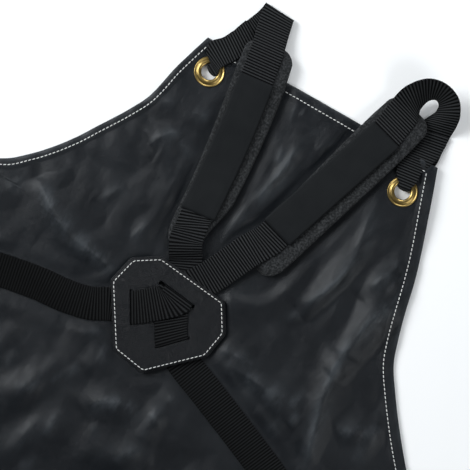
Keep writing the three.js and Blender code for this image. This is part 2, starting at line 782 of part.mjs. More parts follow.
function slotFrame(slot) {
  const turn = degToRad(slot.turn);
  const centre = plateCentre.clone().add(new THREE.Vector2(slot.across, slot.up).multiplyScalar(halfPlate));
  return {
    centre,
    line: new THREE.Vector3(Math.cos(turn), Math.sin(turn), 0),
    heading: new THREE.Vector3(Math.sin(turn), -Math.cos(turn), 0),
    length: webbingWidth + 2 * plateSlotMargin + slot.extra * halfPlate,
    halfWidth: slot.straps > 1 ? (bendNear + bendFar) / 2 : bendNear,
  };
}

// A band bends round the slot's first lip, crosses the leather and bends round the far lip.
function slotStations(slot, entryBend, exitBend, upward, shift = 0) {
  const { centre, line, heading, halfWidth } = slotFrame(slot);
  const entryFace = upward > 0 ? plateBottom : plateTop;
  const exitFace = upward > 0 ? plateTop : plateBottom;
  const place = (ahead, height) => {
    const point = new THREE.Vector3(centre.x, centre.y, height).addScaledVector(heading, ahead);
    return station(point.addScaledVector(line, shift * webbingWidth), webbingWidth, line);
  };
  const angles = [0, 0.25, 0.5].map((share) => share * Math.PI);
  return [
    place(-halfWidth - slotLead, entryFace - upward * entryBend),
    ...angles.map((angle) => place(
      entryBend * Math.sin(angle) - halfWidth,
      entryFace - upward * entryBend * Math.cos(angle),
    )),
    ...angles.map((angle) => place(
      halfWidth - exitBend * Math.cos(angle),
      exitFace + upward * exitBend * Math.sin(angle),
    )),
    place(halfWidth + slotLead, exitFace + upward * exitBend),
  ];
}

// Each cross strap: where it leaves the pad, its height towards the plate in webbing thicknesses, its
// bends and sideways shift in the shared slot, the slot it comes out of and its highest point between them.
const crossings = {
  left: {
    reach: 0.88,
    approach: [6.3, 5.2, 0.6, 0.15],
    entry: bendFar,
    exit: bendNear,
    shift: -0.07,
    out: 'bottom',
    stretch: 0.5,
  },
  right: {
    reach: 0.87,
    approach: [6.2, 3, 1.7],
    entry: bendNear,
    exit: bendFar,
    shift: 0.07,
    out: 'left',
    stretch: 0.55,
  },
};

function toPlatePlaces(side) {
  const pad = padPlaces[side];
  const { reach, shift } = crossings[side];
  const { centre, line, heading, halfWidth } = slotFrame(slotPlaces.shared);
  const from = padPlace(pad, reach, facingOffset(pad, reach));
  const to = centre.clone().addScaledVector(heading, -halfWidth - slotLead);
  to.addScaledVector(line, shift * webbingWidth);
  const way = to.clone().sub(from);
  const aside = new THREE.Vector2(-way.y, way.x).normalize();
  return strapRoutes[side].toPlate.map((row) => (
    from.clone().addScaledVector(way, row.share).addScaledVector(aside, row.aside * webbingWidth)
  ));
}

function crossStrapSolid(side) {
  const pad = padPlaces[side];
  const route = strapRoutes[side];
  const crossing = crossings[side];
  const tuck = (padSetback + panelLength - strapTuck) / padLength;
  const onPad = padStations(pad, tuck, crossing.reach, -1);
  const onPlan = (place, height) => station(new THREE.Vector3(place.x, place.y, height), webbingWidth);
  const toPlate = toPlatePlaces(side).map((place, i) => (
    onPlan(place, onLeather + crossing.approach[i] * webbingThickness)
  ));
  const entry = slotStations(slotPlaces.shared, crossing.entry, crossing.exit, 1, crossing.shift);
  const exit = slotStations(slotPlaces[crossing.out], bendNear, bendNear, -1);
  const last = entry[entry.length - 1].point;
  const between = last.clone().lerp(exit[0].point, crossing.stretch).setZ(last.z);
  const toHip = route.toHip.map((row) => {
    const place = placeAt(row.across, row.down);
    const hem = row.rise * (hemThickness - leatherThickness);
    return onPlan(place, leatherRise(place.x, place.y) + onLeather + hem);
  });
  const stations = [...onPad, ...toPlate, ...entry, station(between, webbingWidth), ...exit, ...toHip];
  return bandSolid(stations, strapStep, strapSegments);
}

function plateLayerSolid(inset, bottom) {
  const size = halfPlate - inset;
  const shape = new THREE.Shape(plateCorners.map((corner) => new THREE.Vector2(
    plateCentre.x + corner.across * size,
    plateCentre.y + corner.up * size,
  )).reverse());
  for (const slot of Object.values(slotPlaces)) {
    const { centre, line, heading, length, halfWidth } = slotFrame(slot);
    const corner = (along, ahead) => new THREE.Vector2(
      centre.x + line.x * along * length / 2 + heading.x * ahead * halfWidth,
      centre.y + line.y * along * length / 2 + heading.y * ahead * halfWidth,
    );
    shape.holes.push(new THREE.Path([corner(-1, -1), corner(1, -1), corner(1, 1), corner(-1, 1)]));
  }
  const geometry = new THREE.ExtrudeGeometry(shape, { depth: plateLayerThickness, bevelEnabled: false });
  geometry.translate(0, 0, bottom);
  return fromManifold(toManifold(geometry));
}

// Stretches of leather that the harness keeps flat, and the folds between them

const harnessCovers = [
  ...['left', 'right'].map((side) => ({
    path: [0, 0.25, 0.5, 0.75, 1].map((along) => padPlace(padPlaces[side], along, 0)),
    half: padWidth / 2,
  })),
  ...['left', 'right'].map((side) => ({
    path: [
      padPlace(padPlaces[side], 1, 0),
      ...toPlatePlaces(side),
      plateCentre,
    ],
    half: webbingWidth / 2,
  })),
  ...['left', 'right'].map((side) => ({
    path: [plateCentre, ...strapRoutes[side].toHip.map((row) => placeAt(row.across, row.down))],
    half: webbingWidth / 2,
  })),
  { path: [plateCentre, plateCentre.clone().add(new THREE.Vector2(1, 0))], half: halfPlate },
  ...['left', 'right'].map((side) => ({
    path: [eyeletPlaces[side], eyeletPlaces[side].clone().add(new THREE.Vector2(1, 0))],
    half: eyeletHole / 2 + eyeletFlangeWidth,
  })),
];

const foldPaths = folds.map((fold) => ({
  ...fold,
  path: new THREE.QuadraticBezierCurve(
    placeAt(fold.fromX, fold.fromY),
    placeAt(fold.midX, fold.midY),
    placeAt(fold.toX, fold.toY),
  ).getPoints(foldSteps),
}));

// Materials and assembly
const blackLeather = { color: 0x1f2124, roughness: 0.45, metalness: 0 };
const plateLeather = { color: 0x1b1c1f, roughness: 0.5, metalness: 0 };
const brass = { color: 0xc9a45a, roughness: 0.3, metalness: 1 };
const knit = { color: 0x2b2b2c, roughness: 0.9, metalness: 0 };
const facing = { color: 0x242425, roughness: 0.75, metalness: 0 };
const webbing = { color: 0x151517, roughness: 0.7, metalness: 0 };

const group = new THREE.Group();

function addPiece(name, geometry, material) {
  const mesh = new THREE.Mesh(geometry, new THREE.MeshStandardMaterial(material));
  mesh.name = name;
  group.add(mesh);
  return mesh;
}

addPiece('apron_body', bodySolid(), blackLeather);
addPiece('back_plate_lower', plateLayerSolid(0, plateBottom), plateLeather);
addPiece(
  'back_plate_upper',
  plateLayerSolid(plateLayerInset, plateTop - plateLayerThickness),
  plateLeather,
);
for (const side of ['left', 'right']) {
  const centre = eyeletPlaces[side];
  addPiece(`eyelet_${side}`, eyeletSolid(), brass).position.set(centre.x, centre.y, 0);
  addPiece(`pad_${side}`, padSolid(padPlaces[side]), knit);
  addPiece(`pad_panel_${side}`, panelSolid(padPlaces[side]), facing);
  addPiece(`eyelet_loop_${side}`, loopSolid(side), webbing);
  addPiece(`cross_strap_${side}`, crossStrapSolid(side), webbing);
}

export default group;
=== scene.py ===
import math

import bmesh
import bpy
import numpy as np
from mathutils import Matrix, Vector, noise


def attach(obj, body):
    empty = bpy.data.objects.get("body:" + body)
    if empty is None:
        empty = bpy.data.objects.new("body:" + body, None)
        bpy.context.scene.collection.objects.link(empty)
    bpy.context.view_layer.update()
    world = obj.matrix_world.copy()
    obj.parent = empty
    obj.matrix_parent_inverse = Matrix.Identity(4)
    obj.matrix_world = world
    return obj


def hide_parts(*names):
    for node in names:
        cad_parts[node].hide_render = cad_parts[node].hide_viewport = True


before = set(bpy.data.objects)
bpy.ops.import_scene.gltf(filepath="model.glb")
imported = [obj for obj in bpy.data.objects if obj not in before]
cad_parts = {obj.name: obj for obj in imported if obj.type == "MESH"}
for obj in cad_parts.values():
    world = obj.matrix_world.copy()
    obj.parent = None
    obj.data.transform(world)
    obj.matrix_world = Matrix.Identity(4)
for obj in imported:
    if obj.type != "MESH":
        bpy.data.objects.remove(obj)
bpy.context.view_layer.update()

# Camera straight over the bib, turned by thirty degrees to the apron, through a long lens.
camera_turn = math.radians(30)
camera_height = 2.4
view_width = 0.533
sensor_width = 36
camera = bpy.data.objects.new("camera", bpy.data.cameras.new("camera"))
camera.location = (-0.0076, 0.1227, camera_height)
camera.rotation_euler = (0, 0, camera_turn)
camera.data.sensor_width = sensor_width
camera.data.lens = sensor_width * camera_height / view_width
bpy.context.collection.objects.link(camera)
bpy.context.scene.camera = camera
bpy.context.scene.view_settings.view_transform = "Standard"

# Soft studio light: a wide window up to the left of the picture, a small gleam beside it, two weaker
# windows on the right, and a dim grey surround, so that flat leather stays black and its folds shine.
lit_middle = Vector((0, 0.12, 0))


def soft_light(name, right, up, height, size, power):
    light = bpy.data.lights.new(name, "AREA")
    light.size = size
    light.energy = power
    light.color = (0.95, 0.98, 1)
    lamp = bpy.data.objects.new(name, light)
    lamp.location = lit_middle + Matrix.Rotation(camera_turn, 3, "Z") @ Vector((right, up, height))
    lamp.rotation_euler = (lit_middle - lamp.location).to_track_quat("-Z", "Y").to_euler()
    bpy.context.collection.objects.link(lamp)


soft_light("window_light", -1.5, 0.9, 1.3, 1.1, 48)
soft_light("gleam_light", -0.62, 0.5, 1.35, 0.4, 2.2)
soft_light("far_light", 0.6, 1.7, 1.1, 0.9, 20)
soft_light("near_light", 1.3, -1.2, 1.5, 1.1, 18)
world = bpy.data.worlds.new("studio")
world.use_nodes = True
surround = world.node_tree.nodes["Background"]
surround.inputs["Color"].default_value = (0.9, 0.95, 1, 1)
surround.inputs["Strength"].default_value = 0.11
bpy.context.scene.world = world


# Materials are built from wires: sums on a wire add Math nodes, and node() adds any other node.
class Wire:
    def __init__(self, tree, socket=None):
        self.tree = tree
        self.socket = socket

    def node(self, kind, values, output=0, **settings):
        made = self.tree.nodes.new(kind)
        for name, value in settings.items():
            setattr(made, name, value)
        for name, value in values.items():
            if isinstance(value, Wire):
                self.tree.links.new(value.socket, made.inputs[name])
            else:
                made.inputs[name].default_value = value
        return Wire(self.tree, made.outputs[output])

    def math(self, operation, *values):
        return self.node("ShaderNodeMath", dict(enumerate(values)), operation=operation)

    def __add__(self, other):
        return self.math("ADD", self, other)

    def __mul__(self, other):
        return self.math("MULTIPLY", self, other)

    __radd__ = __add__
    __rmul__ = __mul__

    def limited(self, low, high):
        return self.node("ShaderNodeMapRange", {"Value": self, "From Min": low, "From Max": high})

    def stretched(self, scale):
        return self.node("ShaderNodeMapping", {"Vector": self, "Scale": scale})

    def part(self, axis):
        return self.node("ShaderNodeSeparateXYZ", {"Vector": self}, axis)

    def noise(self, place, scale, detail=3, roughness=0.5):
        values = {"Vector": place, "Scale": scale, "Detail": detail, "Roughness": roughness}
        return self.node("ShaderNodeTexNoise", values)

    def waves(self, place, direction, scale, distortion):
        values = {"Vector": place, "Scale": scale, "Distortion": distortion}
        return self.node("ShaderNodeTexWave", values, bands_direction=direction)

    def blend(self, share, first, second):
        return self.node("ShaderNodeMix", {0: share, 6: first, 7: second}, 2, data_type="RGBA")

    def bump(self, height, depth, strength):
        return self.node("ShaderNodeBump", {"Height": height, "Distance": depth, "Strength": strength})

    def feed(self, **wires):
        shader = self.tree.nodes["Principled BSDF"]
        for socket, wire in wires.items():
            self.tree.links.new(wire.socket, shader.inputs[socket.replace("_", " ")])


def new_material(name, **constants):
    made = bpy.data.materials.new(name)
    made.use_nodes = True
    shader = made.node_tree.nodes["Principled BSDF"]
    for socket, value in constants.items():
        shader.inputs[socket.replace("_", " ")].default_value = value
    wire = Wire(made.node_tree)
    return made, wire, wire.node("ShaderNodeTexCoord", {}, 3)


def add_object(name, vertices, faces, material):
    mesh = bpy.data.meshes.new(name)
    mesh.from_pydata([tuple(v) for v in vertices], [], [tuple(int(i) for i in f) for f in faces])
    mesh.polygons.foreach_set("use_smooth", [True] * len(mesh.polygons))
    mesh.materials.append(material)
    mesh.update()
    made = bpy.data.objects.new(name, mesh)
    bpy.context.collection.objects.link(made)
    return made


# Studio floor that the apron lies on: pale matt paper, a hair below the leather, far wider than the
# picture.
floor_level = -0.0004
floor_reach = 4
floor_paper, wire, place = new_material("pale_floor", Roughness=0.85)
wire.feed(Base_Color=wire.blend(wire.noise(place, 3), (0.93, 0.93, 0.93, 1), (0.95, 0.95, 0.95, 1)))
square = ((-1, -1), (1, -1), (1, 1), (-1, 1))
floor_corners = [(x * floor_reach, y * floor_reach, floor_level) for x, y in square]
floor = add_object("floor", floor_corners, [(0, 1, 2, 3)], floor_paper)


# Body of the apron: one hide of soft black leather, 1.5 mm thick, cut with deep armholes. Its edges
# are turned under once and held by a line of stitching; it lies inner side up, creased and rumpled.
apron_length = 0.965
body_width = 0.63
waist_drop = 0.3
leather_thickness = 0.0015
hem_thickness = 0.003
hem_step = 0.0012
fold_height = 0.008
fold_spread = 0.02
webbing_width = 0.038
webbing_thickness = 0.0014
floor_gap = 0.0003
seat_gap = 0.0004
layer_gap = 0.0008
pad_gap = 0.0006
eyelet_hole = 0.0184
flange_width = 0.0081
flange_thickness = 0.0008
half_webbing = webbing_thickness / 2
corner_rise = 2 * floor_gap + webbing_thickness + 2 * seat_gap + flange_thickness
corner_plateau = 0.025
corner_slope = 0.052


def place_at(across, down):
    return np.array([across * body_width / 2, waist_drop - down * apron_length])


def ease(value, low, high):
    share = np.clip((value - low) / (high - low), 0, 1)
    return share * share * (3 - 2 * share)


def smooth_points(points, at):
    """Places on a smooth curve through the points; at counts from one point to the next."""
    points = np.asarray(points, float)
    last = len(points) - 1
    padded = np.vstack([2 * points[0] - points[1], points, 2 * points[-1] - points[-2]])
    step = np.clip(np.floor(at).astype(int), 0, last - 1)
    share = (np.asarray(at) - step)[:, None]
    p0, p1, p2, p3 = (padded[step + i] for i in range(4))
    gaps = (np.linalg.norm(b - a, axis=1) for a, b in ((p0, p1), (p1, p2), (p2, p3)))
    t0, t1, t2 = (np.maximum(gap, 1e-8)[:, None] ** 0.5 for gap in gaps)
    start = ((p1 - p0) / t0 - (p2 - p0) / (t0 + t1) + (p2 - p1) / t1) * t1
    end = ((p2 - p1) / t1 - (p3 - p1) / (t1 + t2) + (p3 - p2) / t2) * t1
    return (
        p1 + share * start
        + share**2 * (3 * (p2 - p1) - 2 * start - end)
        + share**3 * (2 * (p1 - p2) + start + end)
    )


def path_distance(x, y, path):
    """Distance of each place from a path of points, and how far along it the nearest point is."""
    best = np.full_like(x, 1e9)
    along = np.zeros_like(x)
    for i in range(len(path) - 1):
        start = path[i]
        step = path[i + 1] - start
        share = np.clip(((x - start[0]) * step[0] + (y - start[1]) * step[1]) / (step @ step), 0, 1)
        distance = np.hypot(x - start[0] - share * step[0], y - start[1] - share * step[1])
        along = np.where(distance < best, (i + share) / (len(path) - 1), along)
        best = np.minimum(best, distance)
    return best, along


# Armholes and sides, left then right, each in half body widths across and apron lengths down.
armholes = [
    (-0.463, -0.001, 0.486, -0.003), (-0.49, 0.027, 0.52, 0.028), (-0.51, 0.05, 0.54, 0.047),
    (-0.54, 0.092, 0.591, 0.095), (-0.589, 0.123, 0.62, 0.127), (-0.643, 0.151, 0.645, 0.162),
    (-0.698, 0.179, 0.673, 0.195), (-0.758, 0.204, 0.703, 0.222), (-0.81, 0.222, 0.765, 0.253),
    (-0.87, 0.239, 0.86, 0.294), (-0.965, 0.254, 1.01, 0.352),
]
sides = [
    armholes[-1], (-0.985, 0.31, 0.997, 0.41), (-1, 0.42, 0.97, 0.51),
    (-1.06, 0.7, 0.9, 0.76), (-1.14, 0.977, 0.85, 1.013),
]
eyelet_places = {"left": place_at(-0.397, 0.033), "right": place_at(0.419, 0.0415)}
pad_length = 0.254
pad_width = 0.058
# Each pad: its top, lean and bow, the webbing's offset on it at both ends of the facing in shares of the
# pad's width, the webbing's veer above the facing, and how far the inner edge draws in at the lower end.
pads = {
    "left": {
        "top": place_at(-0.2476, -0.0311), "lean": math.radians(6.45), "bow": 0.086,
        "offsets": (-0.06, -0.07), "veer": 0, "taper": 0.42,
    },
    "right": {
        "top": place_at(0.3111, -0.0487), "lean": math.radians(-15.75), "bow": 0,
        "offsets": (-0.05, -0.17), "veer": 0.18, "taper": 0,
    },
}
plate_width = 0.127
plate_centre = place_at(-0.1016, 0.3109)
# The cross straps' stations to the plate and on to the hip, the last ones (1) up on the hem.
routes = {
    "left": {
        "to_plate": [(-0.1665, 0.2173), (-0.151, 0.2279), (-0.1312, 0.2391), (-0.1169, 0.25)],
        "to_hip": [
            (0.046, 0.344, 0), (0.161, 0.359, 0), (0.352, 0.3845, 0), (0.495, 0.4045, 0), (0.73, 0.44, 0),
            (0.9, 0.4665, 1), (0.957, 0.476, 1),
        ],
    },
    "right": {
        "to_plate": [(0.0495, 0.1902), (0.0124, 0.2161), (-0.035, 0.2463)],
        "to_hip": [
            (-0.285, 0.3265, 0), (-0.354, 0.338, 0), (-0.446, 0.345, 0), (-0.543, 0.348, 0),
            (-0.665, 0.355, 0), (-0.84, 0.369, 0), (-0.93, 0.3795, 1), (-0.974, 0.3845, 1),
        ],
    },
}


def pad_place(pad, along, offset):
    heading = np.array([math.sin(pad["lean"]), -math.cos(pad["lean"])])
    sideways = np.array([-heading[1], heading[0]])
    centre = pad["top"] + heading * along * pad_length
    bow = pad["bow"] * pad_width * math.sin(math.pi * min(max(along, 0), 1))
    return centre + sideways * (bow + offset)


# All that lies on the leather: a path and half the width covered along it.
quarters = (0, 0.25, 0.5, 0.75, 1)
covers = [([pad_place(pad, along, 0) for along in quarters], pad_width / 2) for pad in pads.values()]
for side, route in routes.items():
    to_plate = [place_at(*row) for row in route["to_plate"]]
    covers.append(([pad_place(pads[side], 1, 0), *to_plate, plate_centre], webbing_width / 2))
    covers.append(([plate_centre, *(place_at(*row[:2]) for row in route["to_hip"])], webbing_width / 2))
covers.append(([plate_centre, plate_centre + [0.001, 0]], plate_width / 2))
eyelet_reach = eyelet_hole / 2 + flange_width
covers += [([place, place + [0.001, 0]], eyelet_reach) for place in eyelet_places.values()]

# Fold crests: start, middle and end in thousandths of half the width across and of the length down,
# then spread and height.
folds = [
    (-741, 241, -620, 275, -340, 289, 1.1, 0.9), (-451, 142, -400, 105, -330, 170, 0.8, 0.5),
    (5, 30, 50, 100, -30, 180, 0.8, 0.6), (592, 130, 520, 210, 528, 270, 0.9, 1),
    (528, 240, 531, 303, 620, 390, 0.9, 1), (314, 225, 410, 160, 400, 80, 0.8, 0.8),
    (470, 175, 515, 136, 570, 100, 0.7, 0.6), (160, 312, 317, 330, 511, 334, 1, 0.7),
    (635, 325, 690, 306, 800, 293, 0.8, 0.6), (-190, 455, -120, 416, 20, 425, 0.9, 0.9),
    (60, 450, 40, 420, 60, 390, 0.8, 0.7), (-150, 500, -30, 480, 120, 455, 0.8, 0.6),
    (-340, 550, -310, 490, -220, 460, 0.9, 0.7), (-450, 490, -390, 460, -360, 410, 0.9, 0.8),
    (-250, 410, -220, 390, -240, 360, 0.7, 0.5), (-600, 620, -450, 660, -420, 780, 1.3, 0.7),
    (200, 600, 300, 680, 250, 820, 1.4, 0.8), (-100, 750, -150, 850, -300, 950, 1.3, 0.7),
]
# Creases: the same, with the spread and height in millimetres.
creases = [
    (-813, 271, -799, 260, -786, 249, 5, 1.6), (-741, 241, -640, 266, -539, 281, 7, 2.2),
    (-539, 281, -430, 283, -317, 293, 7, 2.2), (-505, 229, -480, 213, -457, 197, 6, 1.5),
    (-349, 252, -329, 237, -313, 220, 6, 1.5), (-337, 371, -290, 363, -232, 360, 6, 1.4),
    (-221, 397, -218, 384, -222, 370, 4, 1.5), (-328, 442, -299, 425, -274, 407, 5, 1.9),
    (-498, 449, -495, 439, -493, 431, 5, 1.6), (-431, 471, -398, 459, -375, 444, 6, 1.6),
    (-326, 519, -319, 504, -309, 488, 5, 2), (-257, 499, -253, 485, -246, 470, 5, 1.9),
    (-279, 545, -257, 538, -243, 530, 5, 1.6), (-170, 442, -134, 420, -5, 418, 5, 2.2),
    (32, 411, 62, 416, 89, 424, 5, 1.9), (69, 394, 79, 385, 92, 376, 4, 1.6),
    (-114, 479, -115, 468, -118, 455, 5, 1.7), (-2, 478, 41, 467, 76, 457, 5, 1.7),
    (111, 312, 202, 300, 303, 305, 5, 1.7), (179, 322, 315, 317, 493, 324, 7, 1.8),
    (459, 327, 467, 314, 481, 300, 5, 1.5), (483, 346, 489, 335, 497, 326, 5, 1.5),
    (444, 374, 427, 356, 468, 345, 6, 1.7), (592, 156, 550, 191, 528, 249, 5, 2.4),
    (528, 249, 526, 290, 617, 382, 5, 2.4), (512, 275, 516, 254, 523, 223, 4, 1.4),
    (642, 325, 685, 315, 749, 308, 6, 2), (764, 293, 770, 320, 743, 347, 6, 2),
    (314, 215, 409, 170, 386, 127, 5, 2.2), (386, 127, 351, 93, 368, 69, 5, 1.8),
    (486, 159, 518, 140, 539, 114, 5, 2), (542, 152, 562, 137, 572, 121, 4, 1.7),
    (568, 201, 587, 177, 595, 151, 5, 1.9), (296, 243, 300, 228, 331, 232, 5, 1.4),
    (-109, 23, -110, 18, -111, 13, 3, 1.2), (-56, 36, -62, 24, -65, 12, 3, 1.2),
    (-32, 26, -31, 18, -27, 11, 3, 1.2), (10, 55, 28, 88, -32, 144, 5, 2.4),
    (-32, 144, -68, 182, -91, 217, 5, 2.2), (-22, 88, -26, 77, -33, 66, 4, 1.5),
    (-133, 75, -96, 66, -79, 52, 7, 1.5), (72, 50, 112, 37, 157, 27, 7, 1.5),
    (-505, 88, -476, 86, -440, 87, 5, 1.5), (-451, 142, -419, 109, -367, 119, 5, 1.9),
    (-367, 119, -324, 125, -300, 134, 5, 1.7), (-374, 80, -338, 81, -306, 83, 5, 1.4),
    (-600, 620, -500, 600, -420, 530, 8, 2), (300, 560, 220, 600, 200, 680, 8, 2.2),
    (550, 500, 600, 560, 580, 640, 7, 2), (-200, 660, -80, 700, 20, 680, 8, 2),
    (-750, 720, -700, 800, -720, 880, 9, 2.2), (500, 780, 420, 860, 460, 930, 8, 2),
]


def bent_path(places):
    share = np.linspace(0, 1, 9)[:, None]
    start, middle, end = (place_at(places[i] / 1000, places[i + 1] / 1000) for i in (0, 2, 4))
    return (1 - share) ** 2 * start + 2 * share * (1 - share) * middle + share**2 * end


def crest_height(x, y, rows, spread_unit, height_unit, power):
    rise = np.zeros_like(x)
    for *places, spread, height in rows:
        distance, along = path_distance(x, y, bent_path(places))
        bell = np.exp(-((distance / (spread * spread_unit)) ** power))
        rise += height * height_unit * bell * np.sin(np.pi * np.clip(along, 0, 1)) ** 0.6
    return rise


def free_of_harness(x, y, margin, width):
    keep = np.ones_like(x)
    for path, half in covers:
        distance, _ = path_distance(x, y, path)
        keep = keep * ease(distance, half + margin, half + margin + width)
    return keep


def leather_rise(x, y):
    """Height of the leather's underside over the floor, without its fine creases."""
    lift = np.zeros_like(x)
    plateau = eyelet_reach + corner_plateau
    for place in eyelet_places.values():
        distance = np.hypot(x - place[0], y - place[1])
        lift = lift + corner_rise * (1 - ease(distance, plateau, plateau + corner_slope))
    crests = crest_height(x, y, folds, fold_spread, fold_height, 2)
    return lift + crests * free_of_harness(x, y, 0.015, 0.022)


# The rumples are warped by the same noise, read at three shifted places.
warp_shifts = ((0, 0, 0), (5.3, 2.1, 8.7), (1.9, 9.2, 4.6))


def rumple(x, y):
    """Height of the fine creases and rumples."""
    height = np.empty_like(x)
    for i in np.ndindex(*x.shape):
        place = Vector((x[i], y[i], 0.35))
        warp = Vector([noise.noise(place * 7 + Vector(shift)) for shift in warp_shifts]) * 0.018
        place = place + warp
        broad = math.sqrt(noise.noise(place * 11) ** 2 + 0.0024)
        middle = math.sqrt(noise.noise(place * 26 + Vector((3, 1, 0))) ** 2 + 0.0028)
        drawn = Vector((place.x * 34, place.y * 9, 2))
        pulled = math.sqrt(noise.noise(drawn) ** 2 + 0.0024)
        right = min(max((x[i] + 0.1) / 0.2, 0), 1)
        height[i] = 0.0068 * broad + 0.003 * middle * (1 - 0.5 * right)
        height[i] += 0.0038 * pulled * (0.25 + 0.75 * right)
    return height + crest_height(x, y, creases, 0.001, 0.0013, 1.2)


def run_along(path):
    """Length of the path from its start to each of its points."""
    return np.concatenate([[0], np.cumsum(np.linalg.norm(np.diff(path, axis=0), axis=1))])


arm_steps = np.linspace(0, len(armholes) - 1, 112)
side_steps = np.concatenate([np.linspace(0, 2.2, 62)[1:], np.linspace(2.2, 4, 46)[1:]])
edges = {}
for side, first in (("left", 0), ("right", 2)):
    edges[side] = np.vstack([
        smooth_points([place_at(*row[first:first + 2]) for row in rows], steps)
        for rows, steps in ((armholes, arm_steps), (sides, side_steps))
    ])
row_lengths = run_along((edges["left"] + edges["right"]) / 2)
hem_places = np.array([0, 0.0005, 0.0018, 0.0045, 0.007, 0.0085, 0.0105, 0.013])
hem_clear = 0.015
open_rows = row_lengths[(row_lengths > hem_clear) & (row_lengths < row_lengths[-1] - hem_clear)]
row_places = np.concatenate([hem_places, open_rows, row_lengths[-1] - hem_places[::-1]])
left_edge, right_edge = (
    np.stack([np.interp(row_places, row_lengths, edges[side][:, i]) for i in (0, 1)], axis=1)
    for side in ("left", "right")
)
hem_widths = {"left": 0.0095, "right": 0.0145, "top": 0.0125, "bottom": 0.0125}
stitch_insets = {"left": 0.0068, "right": 0.0118, "top": 0.0102, "bottom": 0.0102}


def edge_share(edge, span):
    """Share of the row's length for one metre square to the edge."""
    along = np.gradient(edge, axis=0)
    along /= np.linalg.norm(along, axis=1)[:, None]
    length = np.linalg.norm(span, axis=1)
    sine = np.abs(along[:, 0] * span[:, 1] - along[:, 1] * span[:, 0]) / length
    return 1 / np.maximum(sine, 0.5) / length


row_span = right_edge - left_edge
left_share = edge_share(left_edge, row_span)[:, None]
right_share = edge_share(right_edge, row_span)[:, None]
hem_columns = np.append(hem_places, 0.0156)
hem_margin = 0.0185
inner_columns = np.linspace(0, 1, 190)
shares = np.hstack([
    left_share * hem_columns,
    left_share * hem_margin + (1 - (left_share + right_share) * hem_margin) * inner_columns,
    1 - right_share * hem_columns[::-1],
])
leather_x = left_edge[:, :1] + shares * row_span[:, :1]
leather_y = left_edge[:, 1:] + shares * row_span[:, 1:]
from_edge = {
    "left": shares / left_share,
    "right": (1 - shares) / right_share,
    "top": np.repeat(row_places[:, None], shares.shape[1], axis=1),
    "bottom": np.repeat((row_lengths[-1] - row_places)[:, None], shares.shape[1], axis=1),
}
edge_distance = np.minimum.reduce(list(from_edge.values()))
hem = np.zeros_like(leather_x)
sunk = np.zeros_like(leather_x)
for side, distance in from_edge.items():
    hem = np.maximum(hem, 1 - ease(distance, hem_widths[side], hem_widths[side] + hem_step))
    sunk = np.maximum(sunk, np.exp(-(((distance - stitch_insets[side]) / 0.0014) ** 2)))
rounding = np.sqrt(np.clip(edge_distance / 0.0018, 0.03, 1))
full = leather_thickness + (hem_thickness - leather_thickness) * hem
leather_full = full * (0.35 + 0.65 * rounding) - 0.00045 * sunk
leather_under = full * 0.25 * (1 - rounding)
leather_base = leather_rise(leather_x, leather_y)
fine = rumple(leather_x, leather_y)
fine *= free_of_harness(leather_x, leather_y, 0.001, 0.016)
fine *= 0.45 + 0.55 * ease(edge_distance, 0.004, 0.03)
ripple = 0.0006 * (1 + np.sin(leather_x * 190 + leather_y * 150)) * (1 - ease(edge_distance, 0.012, 0.03))
fine += ripple * free_of_harness(leather_x, leather_y, 0.001, 0.02)
leather_bottom = leather_base + fine + leather_under
leather_top = leather_base + fine + leather_full + leather_under


def sheet_object(name, top, bottom, material):
    """A closed sheet between two grids of points, top and bottom."""
    count = top.shape[0] * top.shape[1]
    number = np.arange(count).reshape(top.shape[:2])
    quads = np.stack([number[:-1, :-1], number[1:, :-1], number[1:, 1:], number[:-1, 1:]], axis=-1)
    quads = quads.reshape(-1, 4)
    rim = np.concatenate([number[0, :], number[1:, -1], number[-1, -2::-1], number[-2:0:-1, 0]])
    ahead = np.roll(rim, -1)
    walls = np.stack([rim, ahead, ahead + count, rim + count], axis=-1)
    points = np.vstack([top.reshape(-1, 3), bottom.reshape(-1, 3)])
    return add_object(name, points, np.vstack([quads, quads[:, ::-1] + count, walls]), material)


leather, wire, place = new_material("black_leather", Specular_IOR_Level=0.22)
patches = wire.noise(place, 14, 7, 0.62)
cloud = wire.noise(place, 34, 5, 0.6)
pulled = wire.noise(place.stretched((1, 0.3, 1)), 100, 4, 0.5)
grain = wire.node("ShaderNodeTexVoronoi", {"Vector": place, "Scale": 900}, feature="DISTANCE_TO_EDGE")
wrinkle = wire.noise(place, 120, 3, 0.5)
# Base Color is lightened towards grey by the "pale" attribute, which holds painted highlights on the fold
# crests, creases and edges, broken up by noise.
painted_highlight_mask = wire.node("ShaderNodeAttribute", {}, 2, attribute_name="pale")
highlight_breakup = 0.2 + wire.noise(place.stretched((1, 0.4, 1)), 70, 8, 0.62).limited(0.43, 0.6) * 0.65
tone = wire.blend(patches.limited(0.3, 0.7), (0.0018, 0.0028, 0.0044, 1), (0.0084, 0.0102, 0.0126, 1))
wire.feed(
    Base_Color=wire.blend(painted_highlight_mask * highlight_breakup, tone, (0.042, 0.048, 0.054, 1)),
    Roughness=0.3 + patches * 0.16,
    Normal=wire.bump(wrinkle * 0.4 + grain.limited(0, 0.12) * 0.09 + cloud * 0.3 + pulled, 0.0008, 0.9),
)
apron = sheet_object(
    "leather_body",
    np.stack([leather_x, leather_y, leather_top], axis=-1),
    np.stack([leather_x, leather_y, leather_bottom], axis=-1),
    leather,
)
# Painted highlights, kept in the "pale" attribute: the leather's colour is made lighter along the fold
# crests and creases, a little lighter over the hem, and lighter still in a thin rim along its outer edge.
pale = crest_height(leather_x, leather_y, folds, 0.01, 0.45, 1.6)
pale += crest_height(leather_x, leather_y, creases, 0.0012, 0.34, 1.6)
pale *= free_of_harness(leather_x, leather_y, 0.001, 0.012)
pale += 0.16 * (1 - ease(edge_distance, 0.0085, 0.013)) + 0.5 * (1 - ease(edge_distance, 0.001, 0.004))
painted_highlight_layer = apron.data.attributes.new("pale", "FLOAT", "POINT")
painted_highlight_layer.data.foreach_set("value", np.tile(np.clip(pale, 0, 1).ravel(), 2))
